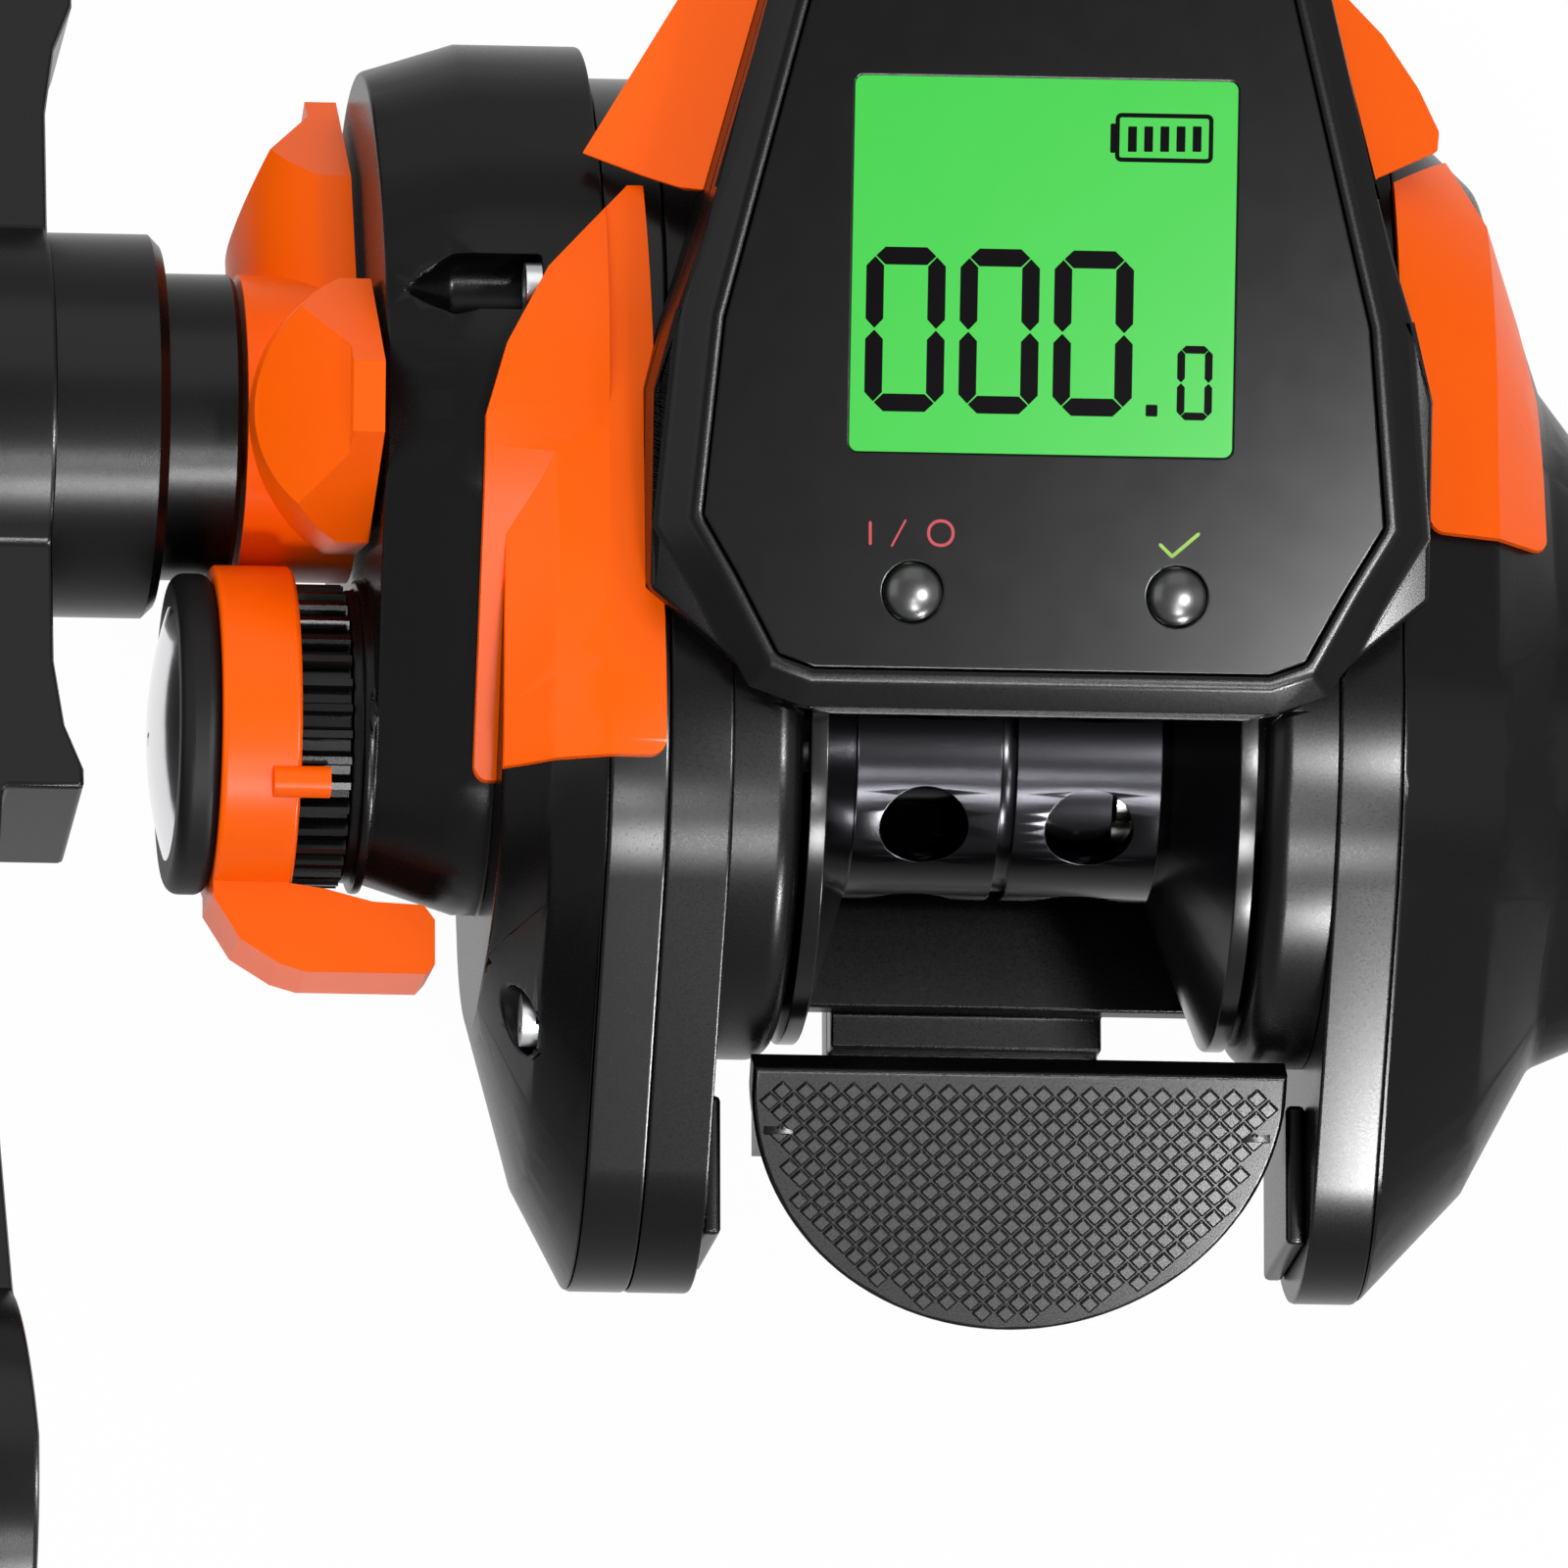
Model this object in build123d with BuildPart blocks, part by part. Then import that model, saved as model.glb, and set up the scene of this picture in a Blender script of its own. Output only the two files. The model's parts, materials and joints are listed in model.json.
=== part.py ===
"""A low-profile baitcasting reel with an electronic line counter and a left-hand crank.

Right is +X, forward to the rod tip is +Y and up is +Z. The origin is the middle of the reel foot's
underside. Sections across the reel are drawn about the spool axis, with forward and up as their axes.
"""

import os
from math import acos, atan2, cos, degrees, hypot, pi, radians, sin, sqrt, tan

from build123d import *

os.makedirs("parts", exist_ok=True)

# Places of the axes, in mm
mid = 0.2
drive_ahead = 18.3
drive_drop = 3.0
worm_ahead = 29.5
worm_drop = 6.0
rod_ahead = 29.5
rod_rise = 4.6
DRIVE = (drive_ahead, -drive_drop)
WORM = (worm_ahead, -worm_drop)
SPOOL = (0, 0)

# Clearances, in mm
running_gap = 0.05
slide_gap = 0.1
side_gap = 0.4
open_gap = 0.3
cut_overrun = 1.0

# Side outline of the body: the hull of three circles, in mm about the spool axis
body_rear = 30.4
body_round = 12.4
body_drop = 6.0
body_top = 18.2
front_ahead = 19.3
front_drop = 2.8
front_radius = 19.2
FRONT = (front_ahead, -front_drop, front_radius)
BODY = [(body_round - body_rear, -body_drop, body_round), (0, 0, body_top), FRONT]

# Stations across the frame, in mm from the middle of the spool
opening_half = 13.1
cheek_width = 4.1
wall_width = 3.6
cheek_radius = 17.9
cheek_round = 1.5
cheek_bore = 8.0
wall_inner = opening_half + cheek_width
wall_outer = wall_inner + wall_width
LEFT_WALL = mid - wall_outer
RIGHT_WALL = mid + wall_outer

# Frame floor, stem and foot, in mm
floor_top = 16.2
floor_thickness = 1.8
floor_rear = 12.0
floor_front = 27.0
stem_height = 2.0
stem_front = 17.0
stem_rear = 14.0
foot_length = 54.0
foot_width = 15.5
foot_end_width = 9.5
foot_thickness = 3.0
foot_end_thickness = 1.3
foot_flat = 34.0
foot_screw_radius = 1.5
foot_screw_head = 2.6
foot_screw_head_depth = 1.2
foot_screw_pitch = 9.0
axis_height = floor_top + floor_thickness + stem_height + foot_thickness

# Spool and shaft, in mm
flange_radius = 17.0
flange_rim = 1.0
flange_wall = 1.5
arbor_radius = 8.6
arbor_half = 8.7
arbor_shift = -0.5
arbor_wall = 1.0
spool_half = opening_half - side_gap
spool_groove_width = 0.8
spool_groove_depth = 0.5
spool_web = 1.2
spool_hub_radius = 3.2
spool_hub_half = 9.5
port_radius = 2.5
port_offset = 4.7
port_count = 6
port_angle = 43.0
shaft_radius = 1.5
rotor_radius = 7.0
rotor_wall = 0.6
rotor_depth = 5.0
bearing_width = 3.0
bearing_radius = 5.0
cross_pin_length = 5.0
cross_pin_radius = 0.5

# Gear-side ring plate, cover and gearbox, in mm across from the spool's middle or about an axis
ring_width = 3.4
ring_web = 1.0
shell_wall = 1.7
cover_first = 3.0
cover_second = 2.7
cover_rear_first = 25.0
cover_round_first = 10.6
cover_rear_second = 15.8
cover_round_second = 8.8
cover_drop_first = 1.4
cover_drop_second = 4.2
box_first = 7.1
box_depth = 5.3
box_rear_radius = 10.0
box_front_radius = 19.9
box_nose_ahead = 24.5
box_nose_drop = 3.4
box_nose_radius = 16.0
box_taper = 17.5
box_wall = 1.6
RING_OUT = LEFT_WALL - ring_width
BOX_EDGE = RING_OUT - box_first
BOX_END = BOX_EDGE - box_depth

# Palm-side cover, in mm
palm_first = 5.8
palm_second = 3.8
palm_third = 5.6
palm_rear_first = 24.2
palm_round_first = 10.5
palm_top_first = 15.6
palm_front_first = 16.5
palm_rear_second = 17.0
palm_round_second = 9.0
palm_top_second = 12.4
palm_front_second = 10.8
palm_rear_third = 14.6
palm_round_third = 8.0
palm_top_third = 10.2
palm_front_third = 7.2
palm_lean_share = 1.0
PALM_END = RIGHT_WALL + palm_first + palm_second + palm_third

# Gear train
pinion_teeth = 13
drive_teeth = 82
wind_teeth = 26
worm_teeth = 20
pressure_angle = 20.0
addendum_share = 0.7
dedendum_share = 1.0
tooth_share = 0.46
flank_shares = (0, 0.35, 0.7, 1)
drive_width = 4.4
drive_cup_radius = 12.0
drive_cup_depth = 2.4
wind_width = 2.0
pinion_length = 4.6
pinion_bore = shaft_radius + running_gap
pinion_neck = 2.1
pinion_flange = 3.0
yoke_thickness = 1.0
yoke_travel = 1.4
yoke_front = 1.6
shaft_drive_radius = 3.0
washer_count = 2
washer_radius = 11.6

# Drag adjuster, hub and handle, in mm
drag_gap = 0.4
drag_depth = 6.5
drag_flange = 1.8
drag_round = 8.7
drag_tip = 21.4
drag_tip_width = 4.0
drag_root_width = 15.0
drag_hump_height = 4.7
drag_hump_radius = 12.4
drag_hump_top = 6.2
drag_angles = (-24.0, 96.0)
drag_boss_radius = 5.5
drag_boss_length = 2.2
sleeve_radius = 8.7
sleeve_length = 2.9
hub_radius = 10.9
hub_length = 7.9
hub_step = 1.4
arm_tilt = -9.0
arm_length = 65.0
arm_width = 13.0
arm_pad_radius = 12.5
arm_hub_radius = 11.5
arm_thickness = 4.0
arm_bridge = 24.2
arm_bridge_rise = 1.6
arm_bridge_start = 16.5
arm_step = 3.0
arm_bow = 0.9
arm_waist_share = 0.6
bridge_rise_share = 0.35
bridge_flat_share = 0.95
lug_radius = 2.1
lug_offset = 8.6
nut_radius = 6.0
nut_length = 4.2
retainer_radius = 7.5
retainer_thickness = 1.4
retainer_screw_radius = 1.4
knob_length = 25.0
knob_radius = 12.5
knob_waist = 8.2
knob_neck = 5.2
knob_round = 2.5
knob_bore = 2.0
post_radius = knob_bore - running_gap
post_head = 2.4
post_head_depth = 0.9
cap_depth = 2.0
cap_radius = 5.0
knob_shares = (0, 0, 0.12, 0.3, 0.62, 0.88, 1, 1)

# Cast control and lever on the spool axis, in mm
seat_radius = 8.9
seat_step = 0.6
seat_boss_radius = 6.4
seat_boss_length = 2.0
seat_bore = 4.0
knurl_radius = 8.6
knurl_length = 2.9
knurl_teeth = 36
lever_radius = 9.6
lever_length = 4.5
lever_width = 6.4
lever_pin_radius = 0.9
lever_pin_length = 1.6
lever_pin_back = 4.3
disc_radius = 9.1
disc_length = 2.3
cap_bulge = 1.1
silver_radius = 7.2
lever_reach = 14.2
lever_tip_height = 3.9
lever_shares = ((0, 0), (0.34, 0), (0.34, 0.64), (0.5, 0.66), (0.72, 0.71), (0.95, 0.72), (1, 0.78),
                (1, 0.96), (0.96, 1), (0.42, 1), (0.3, 0.97), (0.12, 0.87), (0, 0.7))

# Thumb bar, in mm
thumb_half = 15.2
thumb_depth = 16.0
thumb_band = 1.8
thumb_thickness = 2.0
thumb_front = 19.3
thumb_rise = 3.4
thumb_slope = 34.0
thumb_offset = 0.6
leg_width = 1.6
leg_depth = 3.4
leg_length = 9.0
guide_height = 12.0
guide_depth = 8.0

# Counter pod, in mm, on a panel plane tipped back to face the angler
panel_tip = 11.0
panel_rise = 21.3
panel_start = 3.8
face_half = 19.3
face_end = 47.0
face_shares = ((0.668, 0.087), (0.775, 0.102), (0.894, 0.193), (1, 0.266), (0.982, 0.353), (0.947, 0.504),
               (0.86, 0.647), (0.697, 0.913), (0.591, 1))
face_thickness = 1.2
bezel_half = 22.1
bezel_end = 50.0
bezel_foot = 1.8
bezel_shares = ((0.643, 0.036), (1, 0.168), (1, 0.392), (0.959, 0.464), (0.842, 0.62), (0.652, 0.928),
                (0.57, 1))
bezel_depth = 5.0
bezel_lip = 0.8
bezel_fall = 1.5
pod_wall = 2.0
lcd_width = 21.7
lcd_height = 21.2
lcd_middle = 26.9
lcd_shift = -0.3
lcd_thickness = 1.4
lcd_round = 0.5
button_radius = 1.6
button_spread = 7.5
button_shift = 0.1
button_place = 8.4
button_depth = 1.0
button_dome = 0.35
button_travel = 0.6
switch_side = 3.4
switch_height = 0.5
board_thickness = 1.0
battery_thickness = 3.6
well_start = 22.5
well_end = 45.0
well_half = 11.5
well_depth = 4.6
housing_drop = 24.0
housing_rear = 17.0
housing_low_rear = 11.6
housing_low_front = 9.0
seal_width = 1.0
seal_thickness = 0.5

# Orange trims, in mm
trim_thickness = 0.9
trim_depth = 7.0
trim_inner_left = -20.9
trim_outer_left = -31.0
trim_back_left = -4.3
trim_apex_left = 29.2
left_trim_shares = ((0, 0), (0.01, 0.227), (0.089, 1), (0.178, 1), (0.644, 0.845), (0.881, 0.71), (1, 0.586),
                    (1, 0))
trim_inner_right = 20.9
trim_outer_right = 30.0
trim_back_right = 9.6
trim_apex_right = 32.0
right_trim_shares = ((0.198, 0), (0.099, 0.308), (-0.158, 0.879), (0.42, 1.04), (0.65, 0.853), (0.868, 0.607),
                     (0.98, 0.42), (1, 0.2), (1, 0))
skirt_angle = 30.0
skirt_inner = 15.0
skirt_rise = 19.5
skirt_back = 28.4
skirt_reach = 12.0
skirt_front = 45.0
left_skirt_shares = ((0.33, 0), (0.48, 0.02), (0.66, 0.07), (0.98, 0.17), (0.47, 0.69), (0.25, 0.94), (0, 1),
                     (0, 0.36))
right_skirt_shares = ((0.375, 0.04), (0.475, 0.1), (0.82, 0.22), (0.83, 0.29), (0.71, 0.43), (0.5, 0.6),
                      (0.24, 0.74), (0.1, 0.92), (0, 1), (0, 0.36))

# Hood, line guide and level wind, in mm
hood_wall = 1.8
hood_front = 40.5
hood_lip_low = 13.4
hood_lip_rear = 25.2
hood_lip_depth = 6.0
worm_radius = 2.5
worm_end_radius = 1.5
worm_groove_depth = 0.35
worm_groove_width = 0.9
bush_radius = 3.0
rod_radius = 1.0
guide_half = 4.5
guide_block_rear = 25.4
guide_block_front = 33.4
guide_block_low = 9.6
guide_block_high = 6.4
guide_nose = 38.4
guide_eye_radius = 3.4
guide_insert_radius = 2.8
pawl_radius = 1.3
pawl_cap_radius = 2.2
pawl_cap_height = 1.0

# Palm-side brake, in mm
dial_radius = 8.0
dial_length = 2.4
dial_ahead = 0.5
dial_drop = 1.0
dial_hub = 2.4
dial_hub_length = 3.0
magnet_radius = 1.5
magnet_thickness = 1.2
magnet_count = 8
magnet_row_radius = 4.7
magnet_ring_thickness = 1.2
magnet_ring_outer = 7.0
carrier_bore = 3.9

# Small screws, in mm
screw_radius = 1.0
screw_head = 1.5
screw_head_depth = 0.9
recess_radius = 1.95
upper_screw_ahead = 23.0
upper_screw_rise = 15.2
lower_screw_back = 17.0
lower_screw_rise = 4.5
recess_wall = 0.3
recess_start = 0.8
recess_point = 3.0


def across(x):
    """The plane at station x that looks along the spool axis, with forward and up as its axes."""
    return Plane(origin=(x, 0, axis_height), x_dir=(0, 1, 0), z_dir=(1, 0, 0))


def level(height):
    """The level plane at a height above the spool axis."""
    return Plane.XY.offset(axis_height + height)


def disc(x, length, radius, centre=SPOOL, mode=Mode.ADD):
    """A round slice across the reel, from station x towards the right."""
    with BuildSketch(across(x)) as face:
        with Locations(centre):
            Circle(radius)
    extrude(face.sketch, amount=length, mode=mode)


def ring(x, length, outer, inner, centre=SPOOL, mode=Mode.ADD):
    """A round slice with a bore."""
    with BuildSketch(across(x)) as face:
        with Locations(centre):
            Circle(outer)
            Circle(inner, mode=Mode.SUBTRACT)
    extrude(face.sketch, amount=length, mode=mode)


def slab(x, y, z, mode=Mode.ADD):
    """A block between two stations on each axis, with heights measured from the spool axis."""
    with Locations(((x[0] + x[1]) / 2, (y[0] + y[1]) / 2, axis_height + (z[0] + z[1]) / 2)):
        Box(x[1] - x[0], y[1] - y[0], z[1] - z[0], mode=mode)


def turned(points, centre=SPOOL, mode=Mode.ADD):
    """A turned piece: a closed profile of station and radius, spun about an axis across the reel."""
    place = (0, centre[0], axis_height + centre[1])
    with BuildSketch(Plane(origin=place, x_dir=(1, 0, 0), z_dir=(0, -1, 0))) as profile:
        with BuildLine():
            Polyline(*points, close=True)
        make_face()
    revolve(profile.sketch, axis=Axis(place, (1, 0, 0)), mode=mode)


def hull_section(x, circles, grow=0):
    """The smooth outline round circles, each given by its centre and radius, from rear to front."""
    tangents = []
    for index, (y, z, radius) in enumerate(circles):
        next_y, next_z, next_radius = circles[(index + 1) % len(circles)]
        along = atan2(next_z - z, next_y - y)
        tangents.append(along + acos((radius - next_radius) / hypot(next_y - y, next_z - z)))
    with BuildSketch(across(x)) as section:
        with BuildLine():
            for index, (y, z, radius) in enumerate(circles):
                reach = radius + grow
                arrive = tangents[index - 1]
                leave = tangents[index]
                middle = arrive - ((arrive - leave) % (2 * pi)) / 2
                next_y, next_z, next_radius = circles[(index + 1) % len(circles)]
                next_reach = next_radius + grow
                arc_end = (y + reach * cos(leave), z + reach * sin(leave))
                ThreePointArc((y + reach * cos(arrive), z + reach * sin(arrive)),
                              (y + reach * cos(middle), z + reach * sin(middle)), arc_end)
                Line(arc_end, (next_y + next_reach * cos(leave), next_z + next_reach * sin(leave)))
        make_face()
    return section.sketch


def body_slice(x, length, grow=0, mode=Mode.ADD):
    """A slice of the body with its full side outline."""
    extrude(hull_section(x, BODY, grow), amount=length, mode=mode)


def box_section(x, grow=0):
    """The gearbox outline: circles about the spool axis, the drive axis and the nose, over and back."""
    front = (*DRIVE, box_front_radius)
    nose = (box_nose_ahead, -box_nose_drop, box_nose_radius)
    return hull_section(x, [(0, 0, box_rear_radius), front, nose, front], grow)


def cover_circles(rear, rear_round, drop):
    """The gear cover's outline at one station."""
    return [(rear_round - rear, -body_drop + drop / 2, rear_round), (0, 0, body_top - drop),
            (front_ahead, -front_drop, front_radius - drop / 4)]


def cover_shape(grow=0):
    """The gear-side cover as a filled body, from the ring plate to the gearbox edge."""
    x_first = RING_OUT - cover_first
    x_second = x_first - cover_second
    loft([
        hull_section(RING_OUT, BODY, grow),
        hull_section(x_first, cover_circles(cover_rear_first, cover_round_first, cover_drop_first), grow),
        hull_section(x_second, cover_circles(cover_rear_second, cover_round_second, cover_drop_second), grow),
    ], ruled=True)
    extrude(box_section(BOX_EDGE, grow), amount=box_first)


def palm_circles(rear, rear_round, top, front):
    """The palm cover's outline at one station."""
    return [(rear_round - rear, -body_drop + (body_top - top) / 4, rear_round), (0, 0, top),
            (front_ahead - palm_lean_share * (front_radius - front), -front_drop, front)]


def palm_shape(grow=0):
    """The palm-side cover as a filled body."""
    sections = (
        (palm_first, palm_rear_first, palm_round_first, palm_top_first, palm_front_first),
        (palm_second, palm_rear_second, palm_round_second, palm_top_second, palm_front_second),
        (palm_third, palm_rear_third, palm_round_third, palm_top_third, palm_front_third),
    )
    faces = [hull_section(RIGHT_WALL, BODY, grow)]
    x = RIGHT_WALL
    for length, rear, rear_round, top, front in sections:
        x += length
        faces.append(hull_section(x, palm_circles(rear, rear_round, top, front), grow))
    loft(faces, ruled=True)


def tooth_points(teeth, module, first):
    """A spur gear outline with involute flanks, whose first tooth points at the angle named first."""
    pitch = module * teeth / 2
    base = pitch * cos(radians(pressure_angle))
    tip = pitch + addendum_share * module
    root = pitch - dedendum_share * module
    involute = tan(radians(pressure_angle)) - radians(pressure_angle)
    flank = []
    for share in flank_shares:
        radius = max(root, base) + (tip - max(root, base)) * share
        roll = acos(min(1.0, base / radius))
        flank.append((radius, pi * tooth_share / teeth + involute - tan(roll) + roll))
    flank.insert(0, (root, flank[0][1]))
    points = []
    for tooth in range(teeth):
        centre = radians(first) + 2 * pi * tooth / teeth
        for radius, half in flank:
            points.append((radius * cos(centre - half), radius * sin(centre - half)))
        for radius, half in reversed(flank):
            points.append((radius * cos(centre + half), radius * sin(centre + half)))
    return points


def gear(x, width, teeth, module, first, centre, bore=0):
    """A toothed wheel across the reel."""
    with BuildSketch(across(x)) as face:
        with Locations(centre):
            Polygon(*tooth_points(teeth, module, first), align=None)
            if bore:
                Circle(bore, mode=Mode.SUBTRACT)
    extrude(face.sketch, amount=width, clean=False)


def finish(builder, label):
    """Name a finished piece and write it."""
    builder.part.label = label
    export_step(builder.part, f"parts/{label}.step")


# Stations of the gears behind the ring plate
nose_inner = BOX_END + box_wall
seat_left = BOX_END - 2 * seat_step
gear_span = hypot(*DRIVE)
gear_module = 2 * gear_span / (pinion_teeth + drive_teeth)
to_pinion = degrees(atan2(-DRIVE[1], -DRIVE[0]))
drive_right = LEFT_WALL - ring_width - wind_width
drive_left = drive_right - drive_width
pinion_right = drive_right + open_gap + yoke_thickness / 2
pinion_left = pinion_right - pinion_length
yoke_left = pinion_right + slide_gap
yoke_reach = box_rear_radius - shell_wall - side_gap - 2 * box_wall
post_start = yoke_left - yoke_travel - open_gap
cross_pin_x = pinion_right + 2 * yoke_thickness + 3 * slide_gap + cross_pin_radius

# Frame: two side walls, a floor with a rounded front edge, a stem above the foot and a lip ahead of the worm
left_inner = mid - wall_inner
right_inner = mid + wall_inner
floor_low = -floor_top - floor_thickness
foot_top = foot_thickness - axis_height
with BuildPart() as frame:
    body_slice(LEFT_WALL, wall_width)
    body_slice(right_inner, wall_width)
    slab((left_inner, right_inner), (-floor_rear, floor_front), (floor_low, -floor_top))
    disc(left_inner, 2 * wall_inner, flange_radius + side_gap, mode=Mode.SUBTRACT)
    disc(left_inner, cheek_width, cheek_radius, mode=Mode.SUBTRACT)
    disc(right_inner - cheek_width, cheek_width, cheek_radius, mode=Mode.SUBTRACT)
    slab((-foot_width / 2, foot_width / 2), (-stem_rear, stem_front), (foot_top, floor_low))
    disc(left_inner, 2 * wall_inner, floor_thickness / 2, (floor_front, -floor_top - floor_thickness / 2))
    slab((left_inner, right_inner), (hood_lip_rear, hood_lip_rear + hood_lip_depth),
         (-hood_lip_low, -hood_lip_low + hood_wall))
    disc(LEFT_WALL, wall_width, bearing_radius, mode=Mode.SUBTRACT)
    disc(right_inner, wall_width, bearing_radius, mode=Mode.SUBTRACT)
    disc(LEFT_WALL, wall_width, bearing_radius, DRIVE, mode=Mode.SUBTRACT)
    disc(LEFT_WALL, wall_width, bush_radius, WORM, mode=Mode.SUBTRACT)
    disc(right_inner, wall_width, bush_radius, WORM, mode=Mode.SUBTRACT)
    disc(LEFT_WALL, wall_width, rod_radius, (rod_ahead, rod_rise), mode=Mode.SUBTRACT)
    disc(right_inner, wall_width, rod_radius, (rod_ahead, rod_rise), mode=Mode.SUBTRACT)
    with BuildSketch(Plane.XY.offset(foot_thickness)):
        with GridLocations(0, foot_screw_pitch, 1, 3):
            Circle(foot_screw_radius)
    extrude(amount=stem_height + floor_thickness / 2, mode=Mode.SUBTRACT)
finish(frame, "frame")

# Reel foot: a flat-bottomed strip that narrows and thins to its ends
with BuildPart() as reel_foot:
    with BuildSketch(Plane.YZ.offset(-foot_width / 2)):
        with BuildLine():
            Polyline((-foot_length / 2, 0), (foot_length / 2, 0), (foot_length / 2, foot_end_thickness),
                     (foot_flat / 2, foot_thickness), (-foot_flat / 2, foot_thickness),
                     (-foot_length / 2, foot_end_thickness), close=True)
        make_face()
    extrude(amount=foot_width)
    with BuildSketch(Plane.XY):
        with BuildLine():
            Polyline((-foot_end_width / 2, -foot_length / 2), (-foot_width / 2, -foot_flat / 2),
                     (-foot_width / 2, foot_flat / 2), (-foot_end_width / 2, foot_length / 2),
                     (foot_end_width / 2, foot_length / 2), (foot_width / 2, foot_flat / 2),
                     (foot_width / 2, -foot_flat / 2), (foot_end_width / 2, -foot_length / 2), close=True)
        make_face()
    extrude(amount=foot_thickness, mode=Mode.INTERSECT)
    fillet(reel_foot.edges().filter_by(Axis.Z).sort_by(Axis.Y)[0:2], foot_end_width / 4)
    fillet(reel_foot.edges().filter_by(Axis.Z).sort_by(Axis.Y)[-2:], foot_end_width / 4)
    with BuildSketch(Plane.XY):
        with GridLocations(0, foot_screw_pitch, 1, 3):
            Circle(foot_screw_radius)
    extrude(amount=foot_thickness, mode=Mode.SUBTRACT)
    with BuildSketch(Plane.XY):
        with GridLocations(0, foot_screw_pitch, 1, 3):
            Circle(foot_screw_head)
    extrude(amount=foot_screw_head_depth, mode=Mode.SUBTRACT)
finish(reel_foot, "reel_foot")

with BuildPart() as foot_screws:
    with BuildSketch(Plane.XY.offset(open_gap)):
        with GridLocations(0, foot_screw_pitch, 1, 3):
            Circle(foot_screw_head)
    extrude(amount=foot_screw_head_depth - open_gap)
    with BuildSketch(Plane.XY.offset(foot_screw_head_depth)):
        with GridLocations(0, foot_screw_pitch, 1, 3):
            Circle(foot_screw_radius)
    extrude(amount=foot_thickness + stem_height - foot_screw_head_depth)
finish(foot_screws, "foot_screws")

# Cheeks: rounded flanks beside the spool flanges
with BuildPart() as cheeks:
    for inner, outer in ((mid - opening_half, left_inner), (mid + opening_half, right_inner)):
        with BuildPart(mode=Mode.PRIVATE) as cheek:
            ring(min(inner, outer), cheek_width, cheek_radius, cheek_bore)
            rims = cheek.edges().filter_by(GeomType.CIRCLE).sort_by(SortBy.LENGTH)[-2:].sort_by(Axis.X)
            if inner < outer:
                fillet(rims[0], cheek_round)
            else:
                fillet(rims[-1], cheek_round)
        add(cheek.part)
finish(cheeks, "cheeks")

# Spool, its shaft and the brake rotor
arbor_inner = arbor_radius - arbor_wall
rim_inner = flange_radius - flange_wall
groove_half = spool_groove_width / 2
with BuildPart() as spool:
    turned([(mid + a, b) for a, b in (
        (-spool_half, flange_radius), (-spool_half + flange_rim, flange_radius),
        (arbor_shift - arbor_half, arbor_radius), (arbor_shift - groove_half, arbor_radius),
        (arbor_shift - groove_half, arbor_radius - spool_groove_depth),
        (arbor_shift + groove_half, arbor_radius - spool_groove_depth),
        (arbor_shift + groove_half, arbor_radius), (arbor_shift + arbor_half, arbor_radius),
        (spool_half - flange_rim, flange_radius), (spool_half, flange_radius), (spool_half, rim_inner),
        (arbor_shift + arbor_half + flange_rim, arbor_inner), (spool_web / 2, arbor_inner),
        (spool_web / 2, spool_hub_radius), (spool_hub_half, spool_hub_radius), (spool_hub_half, shaft_radius),
        (-spool_hub_half, shaft_radius), (-spool_hub_half, spool_hub_radius),
        (-spool_web / 2, spool_hub_radius), (-spool_web / 2, arbor_inner),
        (arbor_shift - arbor_half - flange_rim, arbor_inner), (-spool_half, rim_inner))])
    for port in range(port_count):
        turn = radians(port_angle + 360 * port / port_count)
        outward = (0, -sin(turn), cos(turn))
        for row in (-port_offset, port_offset):
            start = Plane(origin=(mid + arbor_shift + row, 0, axis_height), x_dir=(1, 0, 0), z_dir=outward)
            with BuildSketch(start.offset(arbor_inner - arbor_wall)):
                Circle(port_radius)
            extrude(amount=3 * arbor_wall, mode=Mode.SUBTRACT)
finish(spool, "spool")

shaft_left = BOX_END + seat_step
shaft_right = mid + wall_inner + bearing_width
with BuildPart() as spool_shaft:
    disc(shaft_left, shaft_right - shaft_left, shaft_radius)
    with Locations((cross_pin_x, 0, axis_height)):
        Cylinder(cross_pin_radius, cross_pin_length)
finish(spool_shaft, "spool_shaft")

with BuildPart() as brake_rotor:
    turned([(mid + spool_web / 2, spool_hub_radius), (mid + spool_web / 2, rotor_radius),
            (mid + spool_web / 2 + rotor_depth, rotor_radius),
            (mid + spool_web / 2 + rotor_depth, rotor_radius - rotor_wall),
            (mid + spool_web / 2 + rotor_wall, rotor_radius - rotor_wall),
            (mid + spool_web / 2 + rotor_wall, spool_hub_radius)])
finish(brake_rotor, "brake_rotor")

# Bearings and bushes that the frame walls carry
bearing_bore = shaft_radius + running_gap
groove_mean = (bearing_radius + bearing_bore) / 2
with BuildPart() as ball_bearings:
    for x in (LEFT_WALL, right_inner):
        ring(x, bearing_width, bearing_radius, bearing_bore)
        for face_x in (x, x + bearing_width - slide_gap):
            ring(face_x, slide_gap, groove_mean + shaft_radius / 2, groove_mean - shaft_radius / 2,
                 mode=Mode.SUBTRACT)
    ring(LEFT_WALL, bearing_width, bearing_radius, shaft_drive_radius + running_gap, DRIVE)
finish(ball_bearings, "ball_bearings")

with BuildPart() as worm_bushes:
    ring(LEFT_WALL, wall_width, bush_radius, worm_end_radius + running_gap, WORM)
    ring(right_inner, wall_width, bush_radius, worm_end_radius + running_gap, WORM)
finish(worm_bushes, "worm_bushes")

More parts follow.
